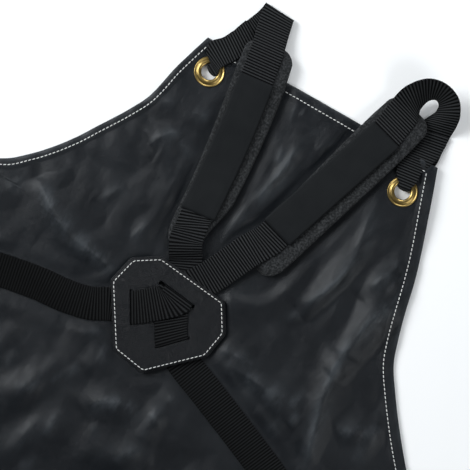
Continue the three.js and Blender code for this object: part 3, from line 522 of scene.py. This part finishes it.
# Round holes punched for the eyelets.
punch_radius = 0.0105
for centre in eyelet_places.values():
    punch_mesh = bpy.data.meshes.new("punch")
    shaper = bmesh.new()
    size = {"radius1": punch_radius, "radius2": punch_radius, "depth": 0.06}
    bmesh.ops.create_cone(shaper, cap_ends=True, segments=64, **size)
    bmesh.ops.translate(shaper, verts=shaper.verts, vec=(centre[0], centre[1], 0))
    shaper.to_mesh(punch_mesh)
    shaper.free()
    punch = bpy.data.objects.new("punch", punch_mesh)
    bpy.context.collection.objects.link(punch)
    cut = apron.modifiers.new("hole", "BOOLEAN")
    cut.object = punch
    cut.operation = "DIFFERENCE"
    cut.solver = "EXACT"
    evaluated = apron.evaluated_get(bpy.context.evaluated_depsgraph_get())
    holed = bpy.data.meshes.new_from_object(evaluated)
    apron.modifiers.clear()
    apron.data = holed
    bpy.data.objects.remove(punch)
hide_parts("apron_body")
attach(apron, "root")


# White stitching that holds the turned edges: a running line of thick waxed thread along each edge of
# the apron, seen on both faces, each stitch drawn down into the leather at its two ends.
stitch_pitch = 0.0048
stitch_length = 0.0034
hem_thread = 0.00105
bead_sides = 6
# Rings of one stitch: share of its length, size and lift in shares of the thread.
bead_rings = [(-0.5, 0.3, -0.75), (-0.36, 0.9, -0.15), (0, 1, 0.1), (0.36, 0.9, -0.15), (0.5, 0.3, -0.75)]
white_thread, wire, place = new_material("white_thread", Specular_IOR_Level=0.3)
wire.feed(
    Base_Color=wire.blend(wire.noise(place, 260), (0.62, 0.62, 0.6, 1), (0.86, 0.86, 0.84, 1)),
    Roughness=0.65 + wire.noise(place, 500) * 0.2,
    Normal=wire.bump(wire.waves(place, "DIAGONAL", 900, 1.5), 0.0001, 0.6),
)
up = np.array([0, 0, 1.0])


def tube_faces(start, rings, sides):
    """Faces of a tube made of rings of points, with a cap at each end."""
    last = start + (rings - 1) * sides
    faces = []
    for ring in range(start, last, sides):
        for corner in range(sides):
            a, b = ring + corner, ring + (corner + 1) % sides
            faces.append((a, b, b + sides, a + sides))
    return [*faces, tuple(reversed(range(start, start + sides))), tuple(range(last, last + sides))]


def stitch_run(name, path, normal, thread):
    """One piece of thread stitches along a path of points."""
    run = run_along(path)
    count = int(run[-1] / stitch_pitch)
    vertices, faces = [], []
    for i in range(count):
        middle = (i + 0.5) * run[-1] / count
        begin, end = (
            np.array([np.interp(middle + side * stitch_length / 2, run, path[:, k]) for k in range(3)])
            for side in (-1, 1)
        )
        across = np.cross(normal, end - begin)
        across /= np.linalg.norm(across)
        slant = 0.08 * stitch_length * across
        start = len(vertices)
        for share, size, lift in bead_rings:
            level = normal * thread * 0.5 * (lift + 0.45)
            centre = begin + (end - begin) * (share + 0.5) + level + slant * share
            for corner in range(bead_sides):
                angle = 2 * math.pi * corner / bead_sides
                turned = math.cos(angle) * across + math.sin(angle) * normal
                vertices.append(centre + thread / 2 * size * turned)
        faces += tube_faces(start, len(bead_rings), bead_sides)
    return add_object(name, vertices, faces, white_thread)


def seam_line(side, surface):
    """Points of the leather's surface at the stitching's distance from one of its four edges."""
    upright = side in ("left", "right")
    ends = ("top", "bottom") if upright else ("left", "right")
    grids = [leather_x, leather_y, surface, from_edge[side], from_edge[ends[0]], from_edge[ends[1]]]
    points = []
    for x, y, z, gap, first, last in zip(*(grid if upright else grid.T for grid in grids)):
        if first[0] >= stitch_insets[ends[0]] and last[0] >= stitch_insets[ends[1]]:
            order = np.argsort(gap)
            points.append([np.interp(stitch_insets[side], gap[order], line[order]) for line in (x, y, z)])
    return np.array(points)


outer_sink = 0.00035
for face, surface, direction in (("inner", leather_top, up), ("outer", leather_bottom + outer_sink, -up)):
    for side in stitch_insets:
        thread = stitch_run(f"{side}_stitches_{face}", seam_line(side, surface), direction, hem_thread)
        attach(thread, "root")


# Brass eyelets at the bib's corners: a rolled collar and flange above, a barrel through the leather
# and a washer clenched below.
eyelet_top = corner_rise + leather_thickness + floor_gap
brass, wire, place = new_material("polished_brass", Metallic=1)
wear = wire.noise(place, 160, 5, 0.7)
wire.feed(
    Base_Color=wire.blend(wear.limited(0.35, 0.75), (0.44, 0.31, 0.11, 1), (0.22, 0.15, 0.05, 1)),
    Roughness=0.24 + wear * 0.2,
    Normal=wire.bump(wire.noise(place, 700, 2), 0.00006, 0.5),
)
flange_level = eyelet_top + flange_thickness
collar_rise = 0.002
collar_level = eyelet_top + collar_rise
bore = eyelet_hole / 2
eyelet_under = corner_rise - floor_gap
# From the washer's rim round under the leather, up the barrel, over the flange and back down the bore:
# distances from the bore and heights, over each of four levels.
eyelet_section = [
    (bore + out, level + lift)
    for level, steps in (
        (eyelet_under, ((0.0053, -0.0007), (0.0055, -0.0003), (0.0053, 0), (0.0008, 0))),
        (eyelet_top, ((0.0008, 0), (0.0079, 0), (0.0081, 0.0003))),
        (flange_level, ((0.0081, 0.0001), (0.0078, 0.00032), (0.0072, 0.00032), (0.0068, 0.0001))),
        (flange_level, ((0.0059, -0.0003), (0.0053, -0.00025), (0.0049, 0.0004))),
        (collar_level, ((0.0041, -0.0003), (0.003, 0), (0.0018, -0.0001), (0.0008, -0.0006))),
        (flange_level, ((0.0002, 0),)),
        (eyelet_top, ((0, 0),)),
        (eyelet_under, ((0, -0.0004), (0.0006, -0.0008), (0.003, -0.0008))),
    )
    for out, lift in steps
]
turns_round = 96
for side, centre in eyelet_places.items():
    vertices = [
        (centre[0] + radius * math.cos(angle), centre[1] + radius * math.sin(angle), height)
        for angle in np.linspace(0, 2 * math.pi, turns_round, endpoint=False)
        for radius, height in eyelet_section
    ]
    count = len(eyelet_section)
    faces = []
    for i in range(turns_round):
        here, ahead = i * count, (i + 1) % turns_round * count
        for j in range(count):
            faces.append((here + j, ahead + j, ahead + (j + 1) % count, here + (j + 1) % count))
    eyelet = add_object(f"brass_eyelet_{side}", vertices, faces, brass)
    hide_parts(f"eyelet_{side}")
    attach(eyelet, "root")


# Shoulder pads: strips of firm foam wrapped in flecked black knit, thin at both ends, with the webbing
# sewn along the top. They lie over the bib's upper hem.
pad_thickness = 0.008
end_rounding = 0.013
taper_reach = (0.7, 0.93)
# Along, half width and thickness in shares of the pad's own.
pad_sections = np.array([
    (0, 0.74, 0.45), (0.018, 0.9, 0.8), (0.05, 1, 1), (0.16, 1.04, 1), (0.32, 1.03, 1), (0.5, 1, 1),
    (0.68, 0.96, 1), (0.84, 0.94, 1), (0.93, 0.9, 1), (0.98, 0.76, 0.8), (1, 0.58, 0.45),
])
loose_stack = floor_gap + 2 * webbing_thickness + layer_gap


def ground_top(x, y):
    beyond = y - waist_drop
    thickness = np.where(beyond > -0.0112, hem_thickness, leather_thickness)
    height = leather_rise(x, np.minimum(y, waist_drop)) + thickness
    return np.where(beyond > 0, np.maximum(loose_stack, height - 0.1 * beyond), height)


def pad_bases(pad):
    """Underside of the pad at its two edges along its length, clear of all that is below it."""
    lower = []
    stations = np.concatenate([np.linspace(a, b, 2 if b - a > 0.1 else 1, endpoint=False)
                               for a, b in zip(pad_sections[:-1, 0], pad_sections[1:, 0])] + [[1]])
    for along in stations:
        needs = []
        for share in quarters:
            x, y = pad_place(pad, along, (share - 0.5) * pad_width)
            near_x, near_y = np.meshgrid(*(value + np.array([-0.012, 0, 0.012]) for value in (x, y)))
            needs.append(float(ground_top(near_x, near_y).max()) + pad_gap)
        slope = needs[-1] - needs[0]
        lift = max(need - (needs[0] + slope * share) for need, share in zip(needs, quarters))
        lower.append((along, needs[0] + lift, needs[-1] + lift))
    return np.array(lower)


for pad in pads.values():
    pad["bases"] = pad_bases(pad)


def pad_point(pad, along, offset, lift):
    x, y = pad_place(pad, min(max(along, 0), 1), offset)
    left, right = (np.interp(along, pad["bases"][:, 0], pad["bases"][:, i]) for i in (1, 2))
    return np.array([x, y, left + (right - left) * (offset / pad_width + 0.5) + lift])


knit, wire, place = new_material(
    "flecked_knit", Sheen_Weight=0.05, Sheen_Roughness=0.5, Specular_IOR_Level=0.15
)
loops = wire.node("ShaderNodeTexVoronoi", {"Vector": place, "Scale": 800})
flecks = wire.noise(place, 420, 2, 0.7)
speckle = flecks.limited(0.42, 0.72) * (0.75 + wire.noise(place, 40, 3) * 0.5)
wire.feed(
    Base_Color=wire.blend(speckle, (0.009, 0.0098, 0.0106, 1), (0.046, 0.048, 0.05, 1)),
    Roughness=0.82 + flecks * 0.12,
    Normal=wire.bump(loops * 0.7 + flecks * 0.6, 0.00024, 0.8),
)
for side, pad in pads.items():
    rows = np.concatenate([[0, 0.004, 0.012], np.linspace(0.025, 0.975, 72), [0.988, 0.996, 1]])
    around = np.linspace(0, 2 * math.pi, 48, endpoint=False)
    vertices = []
    for along in rows:
        half = np.interp(along, pad_sections[:, 0], pad_sections[:, 1]) * pad_width / 2
        thick = np.interp(along, pad_sections[:, 0], pad_sections[:, 2]) * pad_thickness
        end = min(along, 1 - along) * pad_length
        round_end = math.sqrt(1 - (1 - min(end / end_rounding, 1)) ** 2)
        half *= 0.72 + 0.28 * round_end
        thick *= 0.35 + 0.65 * math.sqrt(round_end)
        inner = half * (1 - pad["taper"] * float(ease(along, *taper_reach)))
        for angle in around:
            side_half = inner if math.cos(angle) > 0 else half
            across = math.copysign(abs(math.cos(angle)) ** 0.3, math.cos(angle)) * side_half
            level = math.copysign(abs(math.sin(angle)) ** 0.42, math.sin(angle))
            vertices.append(pad_point(pad, along, across, thick * (0.5 + 0.5 * level)))
    cushion = add_object(f"shoulder_pad_{side}", vertices, tube_faces(0, len(rows), len(around)), knit)
    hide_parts(f"pad_{side}")
    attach(cushion, "root")


# Facings: a strip of smooth dull cloth sewn down the middle of each pad over the webbing's tucked ends,
# its edges turned in along a seam.
facing_start = 0.043
facing_end = 0.209
facing_length = 0.166
facing_half = 0.0206
facing_thickness = 0.0012
facing, wire, place = new_material("dull_facing", Specular_IOR_Level=0.16)
weave = wire.noise(place, 900, 2, 0.6)
wire.feed(
    Base_Color=wire.blend(wire.noise(place, 60, 4), (0.004, 0.005, 0.006, 1), (0.0085, 0.0096, 0.0106, 1)),
    Roughness=0.7 + weave * 0.15,
    Normal=wire.bump(weave, 0.00015, 0.5),
)
facing_lift = pad_thickness + 2 * pad_gap + webbing_thickness + seat_gap


def facing_offset(pad, along):
    first, last = pad["offsets"]
    return (first + (last - first) * (along * pad_length - facing_start) / facing_length) * pad_width


for side, pad in pads.items():
    rows = np.linspace(facing_start, facing_end, 60) / pad_length
    columns = np.linspace(-1, 1, 25)
    top, bottom = [], []
    for r, along in enumerate(rows):
        near_end = min(r, len(rows) - 1 - r) * facing_length / (len(rows) - 1)
        for share in columns:
            edge = min((1 - abs(share)) * facing_half, near_end)
            rim = math.sqrt(min(edge / facing_thickness, 1))
            seam = 0.0003 * math.exp(-((edge - 0.0032) / 0.0011) ** 2)
            offset = facing_offset(pad, along) + share * facing_half
            top.append(pad_point(pad, along, offset, facing_lift + 0.0003 + 0.0009 * rim - seam))
            bottom.append(pad_point(pad, along, offset, facing_lift))
    top, bottom = (np.array(face).reshape(len(rows), len(columns), 3) for face in (top, bottom))
    strip = sheet_object(f"pad_facing_{side}", top, bottom, facing)
    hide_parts(f"pad_panel_{side}")
    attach(strip, "root")


# Webbing: 38 mm ribbed black straps. One from each pad's top loops down under its bib corner, up through
# the eyelet and back on itself; one from each pad's lower end goes by way of the back plate to the far hip.
pad_end_gap = 0.0035
# Distances down the pad of the tucked ends, share of it where the loops leave, and share of a loop's
# area that its gathering in the eyelet leaves.
loop_tuck = 0.055
cross_tuck = 0.197
loop_reach = 0.03
gathered = 0.86


def strap_lift(along):
    thin = np.interp(along, pad_sections[:, 0], pad_sections[:, 2])
    return thin * pad_thickness + pad_gap + (1 - thin) * pad_end_gap + half_webbing


rib_pitch = 0.0032
rows_in_rib = 6
webbing, wire, place = new_material("ribbed_webbing", Specular_IOR_Level=0.05)
weave_place = wire.node("ShaderNodeUVMap", {}, uv_map="weave")
yarns = wire.waves(weave_place, "X", 260, 1.2)
fray = wire.noise(weave_place, 700, 3, 0.6)
# Painted highlight and shade on the ribs: Base Color is lighter along each rib's crest and near black in
# the grooves between the ribs, on top of a random yarn tone.
painted_rib_light = wire.math("ABSOLUTE", wire.math("SINE", weave_place.part(1) * (math.pi / rib_pitch)))
painted_rib_light = wire.math("POWER", painted_rib_light, 3.2)
# The webbing's colour also darkens towards the bottom and the left of the apron, where the hip straps lie.
lighter_up_and_right = (place.part(1) + place.part(0) * 0.35).limited(-0.1, 0.12)
rib_light_and_tone = painted_rib_light * (0.4 + fray * 0.8) * (0.14 + lighter_up_and_right * 0.8)
wire.feed(
    Base_Color=wire.blend(rib_light_and_tone, (0.0004, 0.0005, 0.0006, 1), (0.04, 0.042, 0.044, 1)),
    Roughness=0.5 + fray * 0.25,
    Normal=wire.bump(yarns * 0.5 + fray * 0.5, 0.00025, 0.7),
)


def band(name, stations):
    """Ribbed webbing through stations, each with its centre, width, direction across (or None) and cup."""
    points = np.array([s[0] for s in stations])
    last = len(points) - 1
    rough = np.linspace(0, last, last * 40 + 1)
    path = smooth_points(points, rough)
    run = run_along(path)
    places = np.linspace(0, run[-1], int(run[-1] / rib_pitch * rows_in_rib))
    at = np.interp(places, run, rough)
    centre = smooth_points(points, at)
    ahead, behind = (smooth_points(points, np.clip(at + step, 0, last)) for step in (1e-3, -1e-3))
    tangent = ahead - behind
    tangent /= np.linalg.norm(tangent, axis=1)[:, None]
    level = np.stack([-tangent[:, 1], tangent[:, 0], np.zeros(len(at))], axis=1)
    level /= np.maximum(np.linalg.norm(level, axis=1)[:, None], 1e-9)
    index = np.clip(np.floor(at).astype(int), 0, last - 1)
    share = (at - index)[:, None]
    given = [s[2] for s in stations]
    first, second = (
        np.array([level[i] if given[k] is None else given[k] for i, k in enumerate(index + step)])
        for step in (0, 1)
    )
    across = first * (1 - share) + second * share
    across /= np.linalg.norm(across, axis=1)[:, None]
    normal = np.cross(tangent, across)
    normal /= np.linalg.norm(normal, axis=1)[:, None]
    width = np.interp(at, range(last + 1), [s[1] for s in stations])
    cup = np.interp(at, range(last + 1), [s[3] for s in stations])
    columns = np.array([-1, -0.985, -0.94, -0.8, -0.6, -0.4, -0.2, 0, 0.2, 0.4, 0.6, 0.8, 0.94, 0.985, 1])
    selvedge = np.array([0.45, 0.9, 1, *[0.96] * 9, 1, 0.9, 0.45])
    rib = np.abs(np.sin(np.pi * places / rib_pitch)) ** 0.8
    half = half_webbing * (0.35 + 0.65 * rib)
    middle = (
        centre[:, None, :]
        + across[:, None, :] * (columns[None, :, None] * (width / 2)[:, None, None])
        + normal[:, None, :] * (cup[:, None] * columns[None, :] ** 2)[:, :, None]
    )
    offset = normal[:, None, :] * (half[:, None] * selvedge[None, :])[:, :, None]
    strap = sheet_object(name, middle + offset, middle - offset, webbing)
    layer = strap.data.uv_layers.new(name="weave")
    grid = np.broadcast_arrays(columns[None, :] * webbing_width / 2, places[:, None])
    grid = np.stack(grid, axis=-1).reshape(-1, 2)
    corners = np.empty(len(strap.data.loops), dtype=int)
    strap.data.loops.foreach_get("vertex_index", corners)
    layer.data.foreach_set("uv", np.vstack([grid, grid])[corners].ravel())
    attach(strap, "root")
    return strap, float(run[-1])


def pad_stations(pad, tuck, reach, heading):
    """Stations on a pad, heading to its top end (1) or its lower end (-1)."""
    inner = [a for a in pad["bases"][:, 0] if (a - tuck) * heading < 0 and (a - reach) * heading > 0]
    stations = []
    for along in (tuck, *(inner[::-1] if heading > 0 else inner), reach):
        offset = facing_offset(pad, along) - pad["veer"] * max(0, facing_start - along * pad_length)
        near, far = (pad_point(pad, along, offset + step, 0) for step in (-0.001, 0.001))
        across = (near - far) * heading
        point = pad_point(pad, along, offset, strap_lift(along))
        stations.append((point, webbing_width, across / np.linalg.norm(across), 0))
    return stations


def band_across(turn, bank=0):
    plan, tilt = math.radians(180 + turn), math.radians(bank)
    return np.array([math.cos(plan) * math.cos(tilt), math.sin(plan) * math.cos(tilt), math.sin(tilt)])


on_floor = floor_gap + half_webbing
on_collar = collar_level + seat_gap + half_webbing
stacked = on_floor + webbing_thickness + layer_gap
# Way down to the eyelet, in webbing widths from it: across, up, height of the lower edge in webbing
# thicknesses, width, turn on plan and bank; then the way back: across, up, height, width, cup, turn.
loops = {
    "left": {
        "down": [
            (1.03, 2.03, 5.7, 1, 6, 0), (0.93, 2.52, 3.9, 1, -1, 0), (0.925, 2.6, 1.95, 1, -3, 0),
            (0.92, 2.52, 0, 1, -5, 0), (0.84, 2.16, 0, 1, -12, 0), (0.6, 1.62, 0, 0.95, -31, 0),
            (0.38, 1.22, 0, 0.74, -33, 0), (0.19, 0.86, 0, 0.68, -34, 0), (0.06, 0.5, 0, 0.6, -30, 0),
        ],
        "throat_turn": -28, "setoff": 0, "flip": 0, "cup_side": 1,
        "back": [
            (-0.06, 0.32, on_collar, 0.64, 0.03, -22), (-0.065, 0.57, on_collar, 0.84, 0, -30),
            (0.17, 0.87, on_collar, 0.78, 0, -35),
            (0.34, 1.22, on_floor + 4.3 * webbing_thickness, 0.76, 0, -33), (0.6, 1.62, stacked, 1, 0, -31),
        ],
    },
    "right": {
        "down": [
            (-1.09, 2.6, 6.2, 1, -36, 36), (-0.84, 2.98, 3, 1, -58, 52), (-0.5, 3.1, 1.5, 1, -90, 62),
            (-0.17, 2.97, 0.6, 1, -132, 58), (-0.02, 2.68, 0.3, 1, -157, 48), (-0.04, 2.3, 0, 1, -166, 18),
            (-0.06, 2, 0, 1, -168, 0), (-0.04, 1.56, 0, 1, -170, 0), (0.01, 1.12, 0, 0.95, -171, 0),
            (-0.05, 0.8, 0, 0.8, -172, 0), (-0.08, 0.5, 0, 0.56, -172, 0),
        ],
        "throat_turn": -172, "setoff": 0.09, "flip": 180, "cup_side": -1,
        "back": [
            (-0.1, 0.44, on_collar, 0.7, 0.03, -172), (-0.16, 0.68, on_collar, 0.76, 0, -172),
            (-0.05, 1.04, on_collar, 0.78, 0, -172),
            (0.01, 1.36, on_floor + 3.6 * webbing_thickness, 0.86, 0, -171),
            (-0.04, 1.66, stacked, 1, 0, -169), (-0.06, 1.98, stacked, 1, 0, -168),
        ],
    },
}
throat_width = 0.8 * eyelet_hole
throat_bow = 0.12 * eyelet_hole
throat_lead = 0.002
for side, loop in loops.items():
    pad = pads[side]
    centre = eyelet_places[side]
    stations = pad_stations(pad, loop_tuck / pad_length, loop_reach, 1)
    for across, along, height, width, turn, bank in loop["down"]:
        half = math.sin(math.radians(bank)) * webbing_width * width / 2
        level = on_floor + height * webbing_thickness + half
        point = np.array([*(centre + np.array([across, along]) * webbing_width), level])
        stations.append((point, width * webbing_width, band_across(turn, bank), 0))
    throat = band_across(loop["throat_turn"])
    heading = band_across(loop["throat_turn"] - 90 - loop["flip"])
    radius = (on_collar - on_floor) / 2
    setoff = loop["setoff"] * eyelet_hole
    turns = [(setoff + radius + throat_lead, on_floor, 0)]
    turns += [(setoff + radius * (1 - math.cos(a)), on_floor + radius * (1 + math.sin(a)), math.cos(a))
              for a in np.linspace(-math.pi / 2, math.pi / 2, 7)]
    turns.append((setoff + radius + throat_lead, on_collar, 0))
    for distance, height, bow in turns:
        point = np.array([*centre, height]) + heading * distance
        stations.append((point, throat_width, throat, -bow * loop["cup_side"] * throat_bow))
    for across, along, height, width, cup, turn in loop["back"]:
        point = np.array([*(centre + np.array([across, along]) * webbing_width), height])
        cup *= loop["cup_side"] * webbing_width
        stations.append((point, width * webbing_width, band_across(turn), cup))
    strap, length = band(f"eyelet_strap_{side}", stations)
    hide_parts(f"eyelet_loop_{side}")
    webbing_width * length * gathered

# Levels where the straps cross under and over the back plate, and its three slots: centre in half plate
# widths, turn, spare length and number of straps.
strap_pitch = webbing_thickness + layer_gap
on_leather = leather_thickness + seat_gap + half_webbing
plate_layer = 0.0014
plate_bottom = on_leather + strap_pitch + half_webbing + seat_gap
plate_top = plate_bottom + 2 * plate_layer + floor_gap
bend_near = half_webbing + seat_gap
bend_far = bend_near + strap_pitch
slots = {
    "shared": (0.016, 0.496, -6.3, 0.12, 2),
    "left": (-0.575, -0.11, -59.3, 0, 1),
    "bottom": (0.378, -0.283, 46.2, 0, 1),
}
slot_spare = 0.0028
slot_lead = 0.004


def slot_frame(slot):
    across, up_share, turn, extra, straps = slots[slot]
    angle = math.radians(turn)
    return (
        plate_centre + np.array([across, up_share]) * plate_width / 2,
        np.array([math.cos(angle), math.sin(angle), 0]),
        np.array([math.sin(angle), -math.cos(angle), 0]),
        webbing_width + slot_spare + extra * plate_width / 2,
        (bend_near + bend_far) / 2 if straps > 1 else bend_near,
    )


def slot_stations(slot, entry_bend, exit_bend, upward, shift=0):
    """Stations of a strap through a slot, up (1) or down (-1), with its bend radius on either side."""
    centre, line, heading, _, half = slot_frame(slot)
    entry_face, exit_face = (plate_bottom, plate_top) if upward > 0 else (plate_top, plate_bottom)
    angles = (0, math.pi / 4, math.pi / 2)
    places = [(-half - slot_lead, entry_face - upward * entry_bend)]
    for a in angles:
        places.append((entry_bend * math.sin(a) - half, entry_face - upward * entry_bend * math.cos(a)))
    for a in angles:
        places.append((half - exit_bend * math.cos(a), exit_face + upward * exit_bend * math.sin(a)))
    places.append((half + slot_lead, exit_face + upward * exit_bend))
    aside = line * shift * webbing_width
    return [
        (np.array([*centre, height]) + heading * ahead + aside, webbing_width, line, 0)
        for ahead, height in places
    ]


# Each cross strap: its reach down the pad, heights of its stations to the plate in webbing thicknesses,
# its bends and shift in the shared slot, the slot it leaves by, and where and how far it turns between.
crossings = {
    "left": (0.88, (6.3, 5.2, 0.6, 0.15), bend_far, bend_near, -0.07, "bottom", 0.4, 0.8),
    "right": (0.87, (6.2, 3, 1.7), bend_near, bend_far, 0.07, "left", 0.35, 0.75),
}
# Last stations on the pad, turned to where the strap goes on.
turns_on_pad = {"left": ((-2, 20), (-1, 27)), "right": ()}
for side, (reach, approach, entry_bend, exit_bend, shift, out, stretch, settled) in crossings.items():
    stations = pad_stations(pads[side], cross_tuck / pad_length, reach, -1)
    for i, turn in turns_on_pad[side]:
        stations[i] = (*stations[i][:2], -band_across(turn), 0)
    for row, height in zip(routes[side]["to_plate"], approach):
        point = np.array([*place_at(*row), on_leather + height * webbing_thickness])
        stations.append((point, webbing_width, None, 0))
    entry = slot_stations("shared", entry_bend, exit_bend, 1, shift)
    leave = slot_stations(out, bend_near, bend_near, -1)
    between = entry[-1][0] + (leave[0][0] - entry[-1][0]) * stretch
    between[2] = entry[-1][0][2]
    lay = entry[-1][2] + (leave[0][2] - entry[-1][2]) * settled
    stations += [*entry, (between, webbing_width, lay / np.linalg.norm(lay), 0), *leave]
    for across, down, rise in routes[side]["to_hip"]:
        x, y = place_at(across, down)
        height = float(leather_rise(np.array(x), np.array(y))) + on_leather
        height += rise * (hem_thickness - leather_thickness)
        stations.append((np.array([x, y, height]), webbing_width, None, 0))
    strap, length = band(f"cross_strap_{side}_webbing", stations)
    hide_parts(f"cross_strap_{side}")


# Back plate: two layers of smooth black leather with rounded corners, sewn together round their edge
# with white thread and cut with three slots, which hold the straps where they cross.
plate_corners = [
    (-1.01, 0.67), (-0.57, 0.95), (0.83, 0.81), (1.13, 0.32),
    (1.04, -0.2), (0.18, -1.03), (-0.46, -0.93), (-1.14, 0.14),
]
corner_radius = 0.003
plate_edge = 0.0006
upper_inset = 0.0016
seam_inset = 0.0038
plate_thread = 0.00095


def rounded(corners, radius, steps=6):
    """Corners of a closed outline rounded off by short curves."""
    points = []
    for i, corner in enumerate(corners):
        corner = np.array(corner)
        sides = [np.array(corners[i - 1]) - corner, np.array(corners[(i + 1) % len(corners)]) - corner]
        ends = [corner + side * min(radius / np.linalg.norm(side), 0.5) for side in sides]
        for t in np.linspace(0, 1, steps + 1):
            points.append((1 - t) ** 2 * ends[0] + 2 * t * (1 - t) * corner + t * t * ends[1])
    return np.array(points)


def plate_outline(inset):
    return [plate_centre + np.array(corner) * (plate_width / 2 - inset) for corner in plate_corners]


plate_leather, wire, place = new_material("plate_leather", Specular_IOR_Level=0.24)
pores = wire.node("ShaderNodeTexVoronoi", {"Vector": place, "Scale": 700}, feature="DISTANCE_TO_EDGE")
cloud = wire.noise(place, 45, 5, 0.6)
wire.feed(
    Base_Color=wire.blend(cloud, (0.0028, 0.0034, 0.0044, 1), (0.006, 0.0068, 0.0084, 1)),
    Roughness=0.26 + cloud * 0.16,
    Normal=wire.bump(pores.limited(0, 0.15) * 0.2 + cloud * 0.8, 0.0005, 0.9),
)
for name, inset, low, high in (
    ("lower", 0, plate_bottom, plate_bottom + plate_layer + 0.0001),
    ("upper", upper_inset, plate_top - plate_layer - 0.0001, plate_top),
):
    outline = bpy.data.curves.new("plate", "CURVE")
    outline.dimensions = "2D"
    outline.fill_mode = "BOTH"
    outline.extrude = (high - low) / 2 - plate_edge
    outline.bevel_depth = plate_edge
    outline.bevel_resolution = 2
    outline.offset = -plate_edge
    cuts = [rounded(plate_outline(inset), corner_radius)]
    for slot in slots:
        centre, line, heading, length, half = slot_frame(slot)
        corners = [centre + (line * a * length / 2 + heading * b * half)[:2] for a, b in square]
        cuts.append(rounded(corners, 0.0009, 3))
    for points in cuts:
        spline = outline.splines.new("POLY")
        spline.points.add(len(points) - 1)
        flat = np.hstack([points, np.zeros((len(points), 1)), np.ones((len(points), 1))])
        spline.points.foreach_set("co", flat.ravel())
        spline.use_cyclic_u = True
    holder = bpy.data.objects.new("plate", outline)
    bpy.context.collection.objects.link(holder)
    mesh = bpy.data.meshes.new_from_object(holder.evaluated_get(bpy.context.evaluated_depsgraph_get()))
    bpy.data.objects.remove(holder)
    mesh.materials.clear()
    mesh.materials.append(plate_leather)
    for vertex in mesh.vertices:
        vertex.co.z += (low + high) / 2
    layer = bpy.data.objects.new(f"back_plate_{name}_layer", mesh)
    bpy.context.collection.objects.link(layer)
    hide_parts(f"back_plate_{name}")
    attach(layer, "root")
seam = rounded(plate_outline(seam_inset), 0.002)
seam = np.vstack([seam, seam[:1]])
for face, level, direction in (("top", plate_top, up), ("under", plate_bottom, -up)):
    path = np.hstack([seam, np.full((len(seam), 1), level)])
    thread = stitch_run(f"plate_stitches_{face}", path, direction, plate_thread)
    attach(thread, "root")
